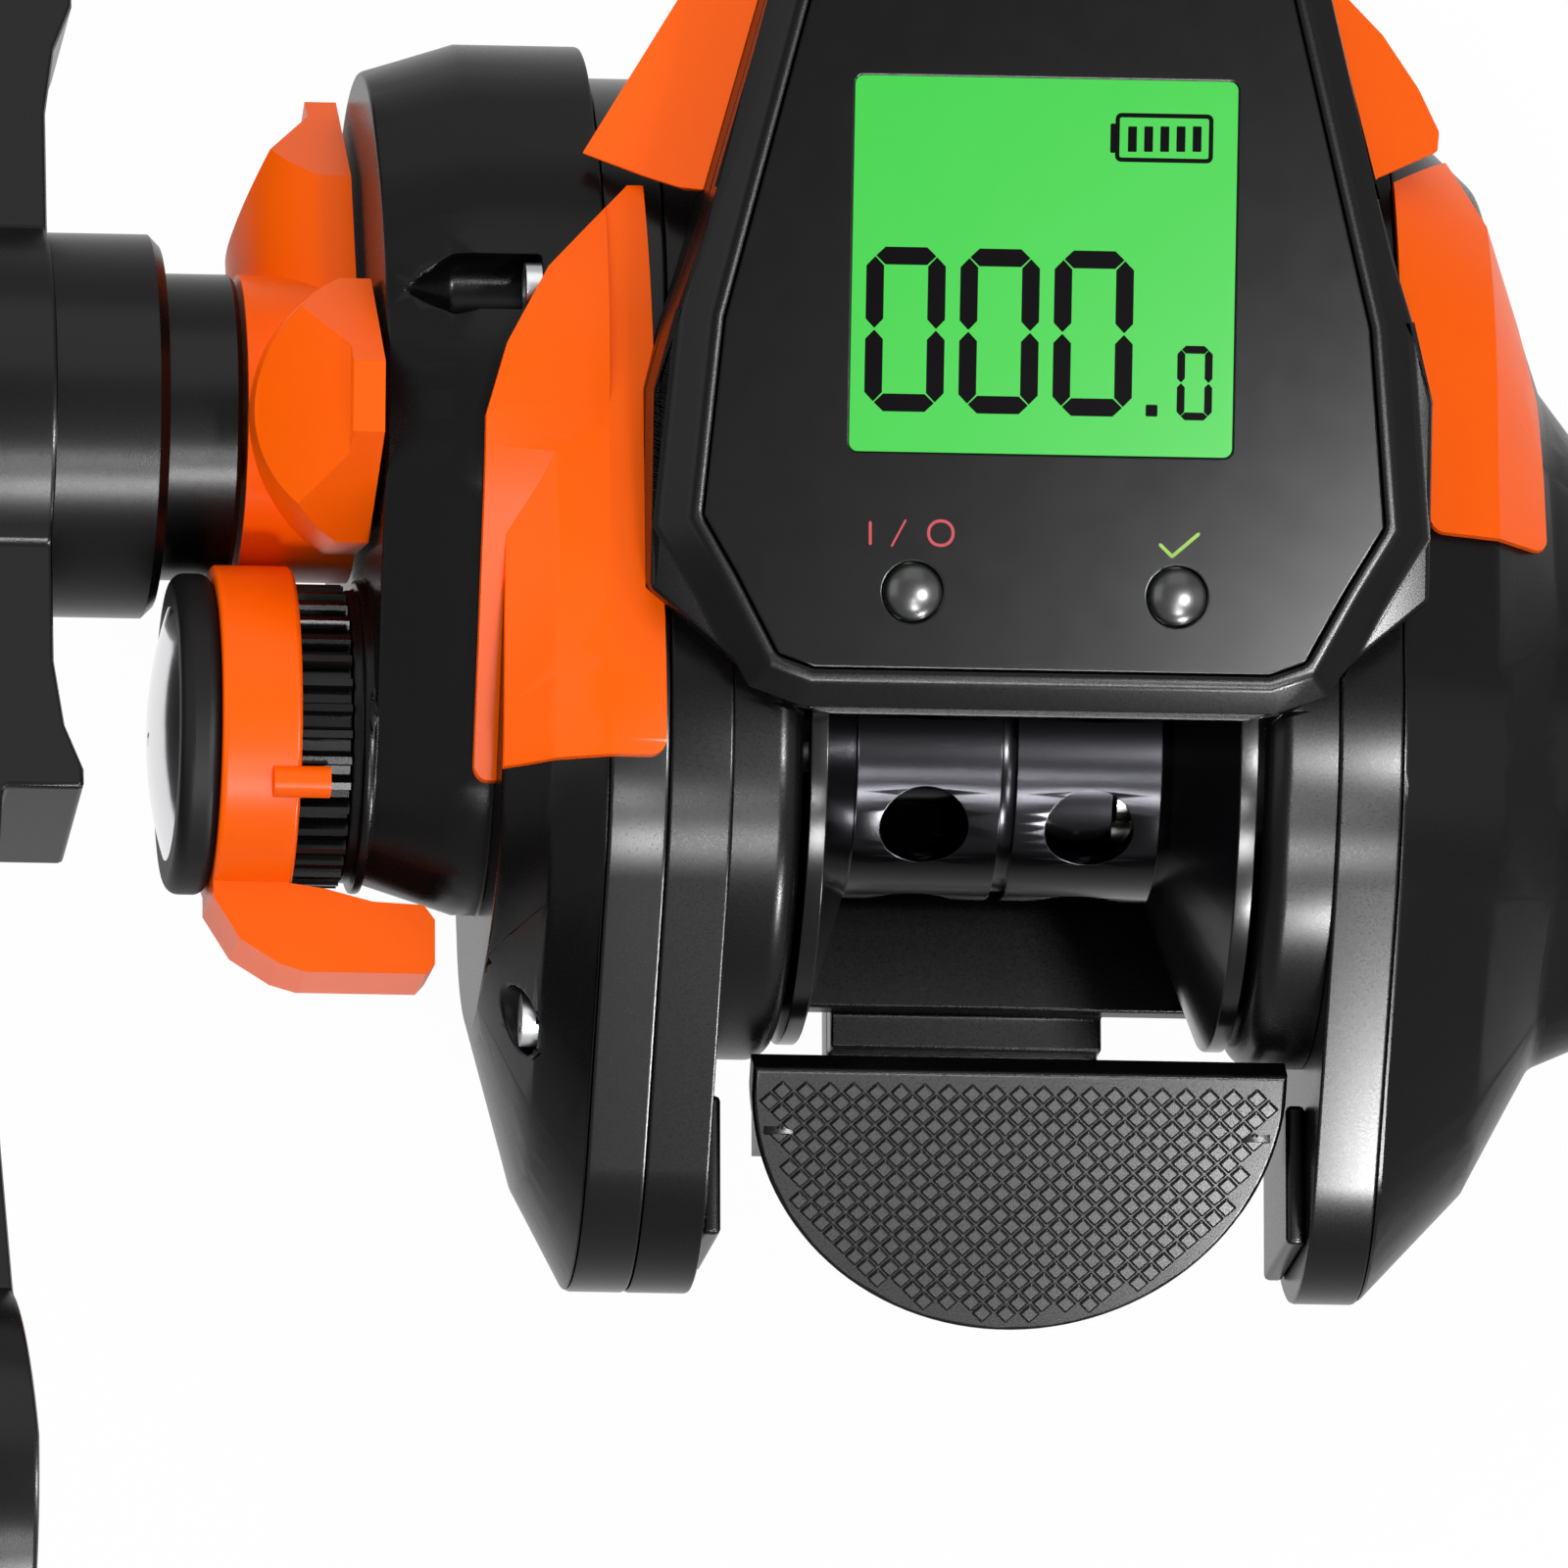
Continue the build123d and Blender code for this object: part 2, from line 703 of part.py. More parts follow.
# Ring plate between the frame and the gear cover, with two posts that guide the yoke
with BuildPart() as ring_plate:
    body_slice(RING_OUT, ring_width)
    body_slice(RING_OUT, ring_width - ring_web, -shell_wall, mode=Mode.SUBTRACT)
    disc(LEFT_WALL - ring_web, ring_web, bearing_radius, mode=Mode.SUBTRACT)
    disc(LEFT_WALL - ring_web, ring_web, bearing_radius, DRIVE, mode=Mode.SUBTRACT)
    disc(LEFT_WALL - ring_web, ring_web, bush_radius, WORM, mode=Mode.SUBTRACT)
    for rise in (yoke_reach, -yoke_reach):
        disc(post_start, LEFT_WALL - ring_web - post_start, screw_radius, (0, rise))
finish(ring_plate, "ring_plate")

# Gear cover with its gearbox bulge
screw_places = ((upper_screw_ahead, upper_screw_rise), (-lower_screw_back, lower_screw_rise))
screw_seats = (RING_OUT - cover_first - box_wall, RING_OUT - cover_first - box_wall / 2)
with BuildPart() as gear_cover:
    cover_shape()
    extrude(box_section(BOX_EDGE), amount=-box_depth, taper=box_taper)
    first_station = RING_OUT - cover_first
    first_space = cover_circles(cover_rear_first, cover_round_first, cover_drop_first)
    extrude(hull_section(first_station, first_space, -shell_wall), amount=cover_first, mode=Mode.SUBTRACT)
    extrude(box_section(BOX_EDGE, -shell_wall), amount=box_first, mode=Mode.SUBTRACT)
    extrude(box_section(BOX_EDGE, -shell_wall), amount=nose_inner - BOX_EDGE, taper=box_taper,
            mode=Mode.SUBTRACT)
    with BuildPart(mode=Mode.PRIVATE) as cover_outside:
        cover_shape()
        extrude(box_section(BOX_EDGE), amount=-box_depth, taper=box_taper)
    with BuildPart(mode=Mode.PRIVATE) as bosses:
        for place in screw_places:
            disc(BOX_END, RING_OUT - BOX_END, recess_radius + recess_wall, place)
        add(cover_outside.part, mode=Mode.INTERSECT)
    add(bosses.part)
    for place, seat in zip(screw_places, screw_seats):
        head_end = seat + screw_head_depth
        turned([(BOX_END + recess_start, 0), (BOX_END + recess_start + recess_point, recess_radius),
                (head_end, recess_radius), (head_end, 0)], place, mode=Mode.SUBTRACT)
        disc(head_end, RING_OUT - head_end, screw_radius, place, mode=Mode.SUBTRACT)
    ring(BOX_END - seat_step, seat_step, seat_radius, seat_bore)
    ring(seat_left, seat_step, seat_radius - seat_step, seat_bore)
    ring(seat_left - seat_boss_length, seat_boss_length, seat_boss_radius, seat_bore)
    ring(nose_inner, drive_width - open_gap, sleeve_radius, sleeve_radius - box_wall, DRIVE)
    ring(nose_inner, 2 * box_wall, bearing_radius + box_wall / 2, bearing_radius - box_wall / 2)
    ring(BOX_END - drag_boss_length, drag_boss_length + box_wall, drag_boss_radius,
         shaft_drive_radius + running_gap, DRIVE)
    disc(BOX_END, box_wall, shaft_drive_radius + running_gap, DRIVE, mode=Mode.SUBTRACT)
    disc(BOX_END, box_wall, seat_bore, mode=Mode.SUBTRACT)
finish(gear_cover, "gear_cover")

with BuildPart() as anti_reverse_bearing:
    ring(nose_inner, drive_width - 2 * open_gap, sleeve_radius - box_wall, shaft_drive_radius + running_gap,
         DRIVE)
finish(anti_reverse_bearing, "anti_reverse_bearing")

with BuildPart() as pinion_bearing:
    ring(nose_inner, 2 * box_wall - open_gap, bearing_radius - box_wall / 2, pinion_neck + running_gap)
finish(pinion_bearing, "pinion_bearing")

# Pinion on the spool shaft and the yoke in its groove
with BuildPart() as pinion:
    gear(pinion_left, pinion_length, pinion_teeth, gear_module, to_pinion + 180 + 180 / pinion_teeth, SPOOL,
         pinion_bore)
    ring(nose_inner + yoke_travel + open_gap, pinion_left - nose_inner - yoke_travel - open_gap, pinion_neck,
         pinion_bore)
    ring(pinion_right, yoke_thickness + 2 * slide_gap, pinion_neck, pinion_bore)
    ring(pinion_right + yoke_thickness + 2 * slide_gap, yoke_thickness, pinion_flange, pinion_bore)
finish(pinion, "pinion")

with BuildPart() as clutch_yoke:
    with BuildSketch(across(yoke_left)):
        with Locations((yoke_front / 2 - pinion_neck, 0)):
            Rectangle(yoke_front + 2 * pinion_neck, 2 * (yoke_reach + box_wall))
        Circle(pinion_neck + running_gap, mode=Mode.SUBTRACT)
        with Locations((pinion_bore * 2, 0)):
            Rectangle(4 * pinion_bore, 2 * (pinion_neck + running_gap), mode=Mode.SUBTRACT)
        with Locations((0, yoke_reach), (0, -yoke_reach)):
            Circle(screw_radius + slide_gap, mode=Mode.SUBTRACT)
    extrude(amount=yoke_thickness)
finish(clutch_yoke, "clutch_yoke")

# Drive shaft, drive gear, drag stack and level-wind gear
hub_right = BOX_END - drag_gap - drag_depth - open_gap - sleeve_length
hub_left = hub_right - hub_length
arm_right = hub_left
arm_left = arm_right - arm_step - arm_thickness
shaft_end = arm_left - nut_length / 2
with BuildPart() as drive_shaft:
    disc(shaft_end, LEFT_WALL + bearing_width - shaft_end, shaft_drive_radius, DRIVE)
finish(drive_shaft, "drive_shaft")

with BuildPart() as drive_gear:
    cup_floor = drive_left + drive_cup_depth
    gear(drive_left, drive_cup_depth, drive_teeth, gear_module, to_pinion, DRIVE, drive_cup_radius)
    gear(cup_floor, drive_right - cup_floor, drive_teeth, gear_module, to_pinion, DRIVE, shaft_drive_radius)
finish(drive_gear, "drive_gear")

plate_thickness = drive_cup_depth / (washer_count + 1)
with BuildPart() as drag_stack:
    for index in range(washer_count):
        ring(drive_left + drive_cup_depth - (index + 1) * plate_thickness, plate_thickness - slide_gap,
             washer_radius, shaft_drive_radius, DRIVE)
    ring(drive_left, plate_thickness - slide_gap, washer_radius - slide_gap, shaft_drive_radius, DRIVE)
finish(drag_stack, "drag_washers")

wind_span = hypot(WORM[0] - DRIVE[0], WORM[1] - DRIVE[1])
wind_module = 2 * wind_span / (wind_teeth + worm_teeth)
to_worm = degrees(atan2(WORM[1] - DRIVE[1], WORM[0] - DRIVE[0]))
wind_left = drive_right + open_gap
with BuildPart() as wind_gear:
    gear(wind_left, wind_width, wind_teeth, wind_module, to_worm, DRIVE, shaft_drive_radius)
finish(wind_gear, "level_wind_gear")

with BuildPart() as worm_gear:
    half_tooth = 180 / worm_teeth
    gear(wind_left, wind_width, worm_teeth, wind_module, to_worm + 180 + half_tooth, WORM, worm_end_radius)
finish(worm_gear, "worm_gear")

worm_groove_count = 12
worm_groove_pitch = 2 * wall_inner / (worm_groove_count + 2)
with BuildPart() as worm_shaft:
    disc(wind_left, right_inner + wall_width - wind_left, worm_end_radius, WORM)
    disc(left_inner + open_gap, 2 * wall_inner - 2 * open_gap, worm_radius, WORM)
    for index in range(worm_groove_count):
        groove_x = left_inner + worm_groove_pitch * (index + 1)
        ring(groove_x, worm_groove_width, worm_radius + cut_overrun, worm_radius - worm_groove_depth, WORM,
             mode=Mode.SUBTRACT)
finish(worm_shaft, "worm_shaft")

# Line guide on the worm and its rod
with BuildPart() as guide_rod:
    disc(LEFT_WALL, 2 * wall_outer, rod_radius, (rod_ahead, rod_rise))
finish(guide_rod, "guide_rod")

eye_plane = Plane(origin=(mid, 0, axis_height), x_dir=(1, 0, 0), z_dir=(0, -1, 0))
with BuildPart() as line_guide:
    slab((mid - guide_half, mid + guide_half), (guide_block_rear, guide_block_front),
         (-guide_block_low, guide_block_high))
    fillet(line_guide.edges().filter_by(Axis.X), worm_radius / 2)
    with BuildSketch(eye_plane.offset(-guide_nose)):
        Circle(guide_eye_radius)
    extrude(amount=guide_nose - guide_block_rear)
    with BuildSketch(eye_plane.offset(-guide_nose)):
        Circle(guide_insert_radius)
    extrude(amount=guide_nose - guide_block_rear, mode=Mode.SUBTRACT)
    disc(mid - guide_half, 2 * guide_half, worm_radius + running_gap, WORM, mode=Mode.SUBTRACT)
    disc(mid - guide_half, 2 * guide_half, rod_radius + running_gap, (rod_ahead, rod_rise),
         mode=Mode.SUBTRACT)
    with BuildSketch(level(-guide_block_low)):
        with Locations((mid, worm_ahead)):
            Circle(pawl_radius)
    extrude(amount=guide_block_low - worm_drop, mode=Mode.SUBTRACT)
finish(line_guide, "line_guide")

pawl_top = worm_drop + worm_radius + running_gap
with BuildPart() as pawl:
    with BuildSketch(level(-guide_block_low)):
        with Locations((mid, worm_ahead)):
            Circle(pawl_radius)
    extrude(amount=guide_block_low - pawl_top)
    with BuildSketch(level(-guide_block_low)):
        with Locations((mid, worm_ahead)):
            Circle(pawl_cap_radius)
    extrude(amount=-pawl_cap_height)
finish(pawl, "pawl")

# Drag adjuster: a round body with two finger wings
drag_right = BOX_END - drag_gap
drag_left = drag_right - drag_depth
flange_left = drag_right - drag_flange


def drag_plane(x, angle):
    """A section plane about the drive axis, turned so that its first axis runs along a wing."""
    turn = radians(angle)
    along = (0, cos(turn), sin(turn))
    return Plane(origin=(x, DRIVE[0], axis_height + DRIVE[1]), x_dir=along, z_dir=(1, 0, 0))


with BuildPart() as drag_adjuster:
    disc(drag_left, drag_depth, drag_round, DRIVE)
    for angle in drag_angles:
        with BuildPart(mode=Mode.PRIVATE) as wing:
            with BuildSketch(drag_plane(drag_left, angle)):
                with BuildLine():
                    Polyline((0, -drag_root_width / 2), (drag_hump_radius, -drag_root_width / 2),
                             (drag_tip, -drag_tip_width / 2), (drag_tip, drag_tip_width / 2),
                             (drag_hump_radius, drag_root_width / 2), (0, drag_root_width / 2), close=True)
                make_face()
            extrude(amount=drag_depth)
            turn = radians(angle)
            hump_plane = Plane(origin=(0, DRIVE[0], axis_height + DRIVE[1]), x_dir=(1, 0, 0),
                               z_dir=(0, cos(turn), sin(turn)))
            with BuildSketch(hump_plane):
                with BuildLine():
                    Polyline((drag_right, -drag_root_width / 2), (flange_left, -drag_root_width / 2))
                    ThreePointArc((flange_left, -drag_root_width / 2), (flange_left - drag_hump_height, 0),
                                  (flange_left, drag_root_width / 2))
                    Polyline((flange_left, drag_root_width / 2), (drag_right, drag_root_width / 2),
                             (drag_right, -drag_root_width / 2))
                make_face()
            extrude(amount=drag_tip, mode=Mode.INTERSECT)
            slope_plane = Plane(origin=(0, DRIVE[0], axis_height + DRIVE[1]), x_dir=(1, 0, 0),
                                z_dir=(0, -sin(turn), cos(turn)))
            with BuildSketch(slope_plane.offset(-drag_root_width)) as slope:
                with BuildLine():
                    Polyline((drag_right, 0), (drag_left, 0), (drag_left, drag_hump_radius - drag_gap),
                             (drag_right - drag_hump_top, drag_hump_radius),
                             (flange_left, drag_tip - drag_flange), (flange_left, drag_tip),
                             (drag_right, drag_tip), close=True)
                make_face()
            extrude(amount=2 * drag_root_width, mode=Mode.INTERSECT)
        add(wing.part)
    disc(drag_left, drag_depth, shaft_drive_radius + running_gap, DRIVE, mode=Mode.SUBTRACT)
    disc(drag_right - drag_boss_length + drag_gap - slide_gap, drag_boss_length,
         drag_boss_radius + running_gap, DRIVE, mode=Mode.SUBTRACT)
finish(drag_adjuster, "drag_adjuster")

# Handle: sleeve, hub, arm, nut, retainer and knobs, all about the drive axis
with BuildPart() as shaft_sleeve:
    ring(hub_right, sleeve_length, sleeve_radius, shaft_drive_radius, DRIVE)
    chamfer(shaft_sleeve.faces().sort_by(Axis.X)[-1].edges().sort_by(SortBy.LENGTH)[-1], open_gap)
finish(shaft_sleeve, "shaft_sleeve")

with BuildPart() as handle_hub:
    ring(hub_left, hub_length - hub_step, hub_radius, shaft_drive_radius, DRIVE)
    chamfer(handle_hub.faces().sort_by(Axis.X)[-1].edges().sort_by(SortBy.LENGTH)[-1], 2 * open_gap)
    ring(hub_right - hub_step, hub_step, sleeve_radius, shaft_drive_radius, DRIVE)
finish(handle_hub, "handle_hub")

arm_turn = radians(arm_tilt)
ARM_ALONG = (0, cos(arm_turn), sin(arm_turn))
ARM_UP = (0, -sin(arm_turn), cos(arm_turn))
drive_place = (0, DRIVE[0], axis_height + DRIVE[1])
edge_plane = Plane(origin=drive_place, x_dir=(1, 0, 0), z_dir=ARM_UP)


def arm_profile(sign):
    """Half of the arm seen edge-on: station across the reel, and distance along the arm."""
    inner = arm_right
    plate = inner - arm_step
    reach = arm_length + arm_pad_radius
    waist = arm_waist_share * arm_length
    return [(inner, 0), (inner, sign * arm_bridge_start),
            (inner + arm_bridge_rise * bridge_rise_share, sign * (arm_bridge_start + arm_bridge) / 2),
            (inner + arm_bridge_rise, sign * bridge_flat_share * arm_bridge),
            (inner + arm_bridge_rise, sign * arm_bridge),
            (plate, sign * arm_bridge), (plate - arm_bow, sign * waist),
            (plate, sign * (arm_length - arm_pad_radius)), (plate + arm_bow, sign * arm_length),
            (plate + arm_bow, sign * reach), (arm_left + arm_bow, sign * reach),
            (arm_left + arm_bow, sign * arm_length), (arm_left - arm_bow, sign * waist),
            (arm_left, sign * arm_bridge_start), (arm_left, 0)]


def arm_side(x, length, mode=Mode.ADD):
    """The arm seen from its side: a hub disc, two straight limbs and two end pads."""
    with BuildSketch(drag_plane(x, arm_tilt)) as side:
        Rectangle(2 * arm_length, arm_width)
        Circle(arm_hub_radius)
        with Locations((-arm_length, 0), (arm_length, 0)):
            Circle(arm_pad_radius)
    extrude(side.sketch, amount=length, mode=mode)


with BuildPart() as handle_arm:
    for sign in (1, -1):
        with BuildSketch(edge_plane.offset(-arm_pad_radius)) as half:
            with BuildLine():
                Polyline(*arm_profile(sign), close=True)
            make_face()
        extrude(half.sketch, amount=2 * arm_pad_radius)
    arm_side(arm_left - nut_length, arm_step + arm_thickness + 2 * nut_length, mode=Mode.INTERSECT)
    disc(arm_left - nut_length, arm_step + arm_thickness + 2 * nut_length, shaft_drive_radius, DRIVE,
         mode=Mode.SUBTRACT)
    for sign in (1, -1):
        post = (DRIVE[0] + sign * arm_length * ARM_ALONG[1], DRIVE[1] + sign * arm_length * ARM_ALONG[2])
        disc(arm_left - nut_length, arm_step + arm_thickness + 2 * nut_length, post_radius, post,
             mode=Mode.SUBTRACT)
finish(handle_arm, "handle_arm")

with BuildPart() as handle_nut:
    with BuildSketch(across(arm_left - nut_length)) as hexagon:
        with Locations(DRIVE):
            RegularPolygon(nut_radius, 6)
            Circle(shaft_drive_radius, mode=Mode.SUBTRACT)
    extrude(hexagon.sketch, amount=nut_length)
finish(handle_nut, "handle_nut")

retainer_right = arm_left - nut_length
lug_place = (DRIVE[0] + lug_offset * ARM_ALONG[1], DRIVE[1] + lug_offset * ARM_ALONG[2])
retainer_left = retainer_right - retainer_thickness
with BuildPart() as nut_retainer:
    disc(retainer_left, retainer_thickness, retainer_radius, DRIVE)
    disc(retainer_left, retainer_thickness + nut_length, lug_radius, lug_place)
    disc(retainer_left, retainer_thickness + nut_length, screw_radius, lug_place, mode=Mode.SUBTRACT)
    with BuildSketch(across(retainer_right)) as nut_space:
        with Locations(DRIVE):
            Circle(nut_radius + slide_gap)
    extrude(nut_space.sketch, amount=nut_length, mode=Mode.SUBTRACT)
finish(nut_retainer, "nut_retainer")

with BuildPart() as retainer_screw:
    disc(retainer_left, retainer_thickness + nut_length, screw_radius, lug_place)
    disc(retainer_left - screw_head_depth, screw_head_depth, retainer_screw_radius, lug_place)
finish(retainer_screw, "retainer_screw")

knob_right = arm_left - open_gap
knob_left = knob_right - knob_length
post_root = arm_right - arm_step + arm_bow
knob_places = [(DRIVE[0] + sign * arm_length * ARM_ALONG[1], DRIVE[1] + sign * arm_length * ARM_ALONG[2])
               for sign in (1, -1)]
with BuildPart() as knob_posts:
    for place in knob_places:
        disc(knob_left + post_head_depth, post_root - knob_left - post_head_depth, post_radius, place)
        disc(knob_left + post_head_depth, post_head_depth, post_head, place)
        disc(post_root, post_head_depth, post_head, place)
finish(knob_posts, "knob_posts")

for name, place in zip(("front", "rear"), knob_places):
    with BuildPart() as knob:
        turned([(knob_right - share * knob_length, radius) for share, radius in zip(knob_shares, (
            knob_bore, knob_neck, knob_neck, knob_waist, knob_radius, knob_radius, knob_waist, cap_radius))]
            + [(knob_left + cap_depth, cap_radius), (knob_left + cap_depth, knob_bore)], place)
        fillet(knob.edges().filter_by(GeomType.CIRCLE).filter_by(
            lambda edge: edge.radius > knob_radius - open_gap), knob_round)
    finish(knob, f"{name}_knob")

# Cast control on the spool axis: ribbed knob, orange lever, disc and cap
knob_end = seat_left - slide_gap
knurl_left = knob_end - knurl_length
knurl_module = 2 * knurl_radius / (knurl_teeth + 2 * addendum_share)
with BuildPart() as cast_control_knob:
    gear(knurl_left, knurl_length - seat_boss_length, knurl_teeth, knurl_module, 0, SPOOL)
    gear(knob_end - seat_boss_length, seat_boss_length, knurl_teeth, knurl_module, 0, SPOOL,
         seat_boss_radius + running_gap)
    disc(knob_end - seat_boss_length, shaft_left - open_gap - knob_end + seat_boss_length,
         seat_bore - running_gap)
finish(cast_control_knob, "cast_control_knob")

lever_left = knurl_left - lever_length
tip_right = BOX_END + lever_tip_height
with BuildPart() as tension_lever:
    disc(lever_left, lever_length, lever_radius)
    fillet(tension_lever.edges(), open_gap)
    with BuildSketch(level(-lever_width / 2)) as arm:
        with BuildLine():
            Polyline(*[(lever_left + across_share * (tip_right - lever_left), -out_share * lever_reach)
                       for across_share, out_share in lever_shares], close=True)
        make_face()
    extrude(arm.sketch, amount=lever_width)
    pin_reach = knurl_radius + lever_pin_radius + slide_gap
    disc(knurl_left - lever_pin_length, 2 * lever_pin_length, lever_pin_radius,
         (-lever_pin_back, sqrt(pin_reach ** 2 - lever_pin_back ** 2)))
finish(tension_lever, "tension_lever")

disc_left = lever_left - disc_length
with BuildPart() as control_disc:
    disc(disc_left, disc_length, disc_radius)
    fillet(control_disc.edges(), disc_length / 3)
finish(control_disc, "control_disc")

with BuildPart() as control_cap:
    with BuildSketch(eye_plane) as dome:
        with BuildLine():
            Line((disc_left - mid, 0), (disc_left - mid, silver_radius))
            RadiusArc((disc_left - mid, silver_radius), (disc_left - mid - cap_bulge, 0),
                      -(silver_radius ** 2 + cap_bulge ** 2) / (2 * cap_bulge))
            Line((disc_left - mid - cap_bulge, 0), (disc_left - mid, 0))
        make_face()
    revolve(dome.sketch, axis=Axis((0, 0, axis_height), (1, 0, 0)))
finish(control_cap, "control_cap")

# Thumb bar on its slope, with two legs in the frame
slope = radians(thumb_slope)
thumb_plane = Plane(origin=(mid + thumb_offset, -thumb_front, axis_height + thumb_rise), x_dir=(1, 0, 0),
                    z_dir=(0, -sin(slope), cos(slope)))
with BuildPart() as thumb_bar:
    with BuildSketch(thumb_plane.offset(-thumb_thickness)) as moon:
        with BuildLine():
            Line((-thumb_half, 0), (thumb_half, 0))
            Line((thumb_half, 0), (thumb_half, -thumb_band))
            ThreePointArc((thumb_half, -thumb_band), (0, -thumb_depth), (-thumb_half, -thumb_band))
            Line((-thumb_half, -thumb_band), (-thumb_half, 0))
        make_face()
    extrude(moon.sketch, amount=thumb_thickness)
    fillet(thumb_bar.faces().sort_by(Axis((0, 0, 0), (0, -sin(slope), cos(slope))))[-1].edges(), open_gap)
    for side in (-1, 1):
        leg_x = mid + thumb_offset + side * (thumb_half - leg_width)
        slab((leg_x - leg_width / 2, leg_x + leg_width / 2), (-thumb_front - leg_depth, -thumb_front),
             (thumb_rise - leg_length, thumb_rise - thumb_thickness))
finish(thumb_bar, "thumb_bar")

guide_front = thumb_front + thumb_band / 2
with BuildPart() as thumb_guides:
    for side in (-1, 1):
        outer = mid + side * wall_inner
        inner = mid + side * (thumb_half + thumb_offset + open_gap)
        slab((min(outer, inner), max(outer, inner)), (-guide_front - guide_depth, -guide_front),
             (-guide_height, -open_gap))
finish(thumb_guides, "thumb_bar_guides")

# Counter pod: pieces on the tipped panel plane
tip_angle = radians(panel_tip)
panel = Plane(origin=(0, -panel_start, axis_height + panel_rise), x_dir=(1, 0, 0),
              z_dir=(0, -sin(tip_angle), cos(tip_angle)))
FACE_POINTS = [(face_half * a, face_end * b) for a, b in face_shares]
BEZEL_POINTS = [(bezel_half * a, bezel_end * b) for a, b in bezel_shares]


def panel_face(points, lift, grow=0):
    """A mirrored outline on the panel plane, grown evenly."""
    right = [(a, b) for a, b in points]
    left = [(-a, b) for a, b in reversed(points)]
    with BuildSketch(panel.offset(lift)) as outline:
        with BuildLine():
            Polyline(*right, *left, close=True)
        make_face()
        if grow:
            offset(amount=grow, kind=Kind.INTERSECTION)
    return outline.sketch


def board_outline(lift, grow=0):
    """The circuit board: a field under the display and a tongue under the buttons."""
    tongue = lcd_middle - button_place
    with BuildSketch(panel.offset(lift)) as outline:
        with Locations((0, lcd_middle)):
            Rectangle(lcd_width + pod_wall + 2 * grow, lcd_height + pod_wall + 2 * grow)
        with Locations((0, button_place + tongue / 4)):
            Rectangle(2 * button_spread + 3 * button_radius + 2 * grow,
                      tongue / 2 + 3 * button_radius + 2 * grow)
    return outline.sketch


def clear_body():
    """Cut away what the side walls, the covers and the spool fill."""
    body_slice(RING_OUT, ring_width + wall_width + slide_gap, slide_gap, mode=Mode.SUBTRACT)
    body_slice(right_inner - slide_gap, wall_width + ring_width, slide_gap, mode=Mode.SUBTRACT)
    disc(left_inner, 2 * wall_inner, flange_radius + cheek_width / 4, mode=Mode.SUBTRACT)


with BuildPart() as counter_bezel:
    loft([panel_face(FACE_POINTS, 0, bezel_lip), panel_face(FACE_POINTS, -bezel_fall, 3 * bezel_lip)],
         ruled=True)
    extrude(panel_face(BEZEL_POINTS, -bezel_fall), amount=-bezel_depth)
    extrude(panel_face(FACE_POINTS, 0, running_gap), amount=-face_thickness, mode=Mode.SUBTRACT)
    extrude(board_outline(0, slide_gap), amount=-bezel_depth - bezel_fall, mode=Mode.SUBTRACT)
    clear_body()
finish(counter_bezel, "counter_bezel")

button_places = ((button_shift - button_spread, button_place), (button_shift + button_spread, button_place))
with BuildPart() as face_panel:
    extrude(panel_face(FACE_POINTS, 0), amount=-face_thickness)
    with BuildSketch(panel) as window:
        with Locations((lcd_shift, lcd_middle)):
            RectangleRounded(lcd_width, lcd_height, lcd_round)
        with Locations(*button_places):
            Circle(button_radius + slide_gap)
    extrude(window.sketch, amount=-face_thickness, mode=Mode.SUBTRACT)
finish(face_panel, "face_panel")

with BuildPart() as lcd_screen:
    with BuildSketch(panel) as glass:
        with Locations((lcd_shift, lcd_middle)):
            RectangleRounded(lcd_width, lcd_height, lcd_round)
    extrude(glass.sketch, amount=-lcd_thickness)
finish(lcd_screen, "lcd_screen")

board_lift = -face_thickness - button_depth - button_travel - switch_height
with BuildPart() as circuit_board:
    extrude(board_outline(board_lift), amount=-board_thickness)
finish(circuit_board, "circuit_board")

for name, place in zip(("power_button", "set_button"), button_places):
    with BuildPart() as button:
        with BuildSketch(panel.offset(button_dome)) as stem:
            with Locations(place):
                Circle(button_radius)
        extrude(stem.sketch, amount=-face_thickness - button_depth - button_dome)
        fillet(button.faces().sort_by(Axis.Z)[-1].edges(), button_dome)
        with BuildSketch(panel.offset(-face_thickness - slide_gap)) as flange:
            with Locations(place):
                Circle(button_radius + button_dome)
        extrude(flange.sketch, amount=-button_dome)
    finish(button, name)

with BuildPart() as tact_switches:
    with BuildSketch(panel.offset(board_lift)) as switch_faces:
        with Locations(*button_places):
            Rectangle(switch_side, switch_side)
    extrude(switch_faces.sketch, amount=switch_height)
finish(tact_switches, "tact_switches")

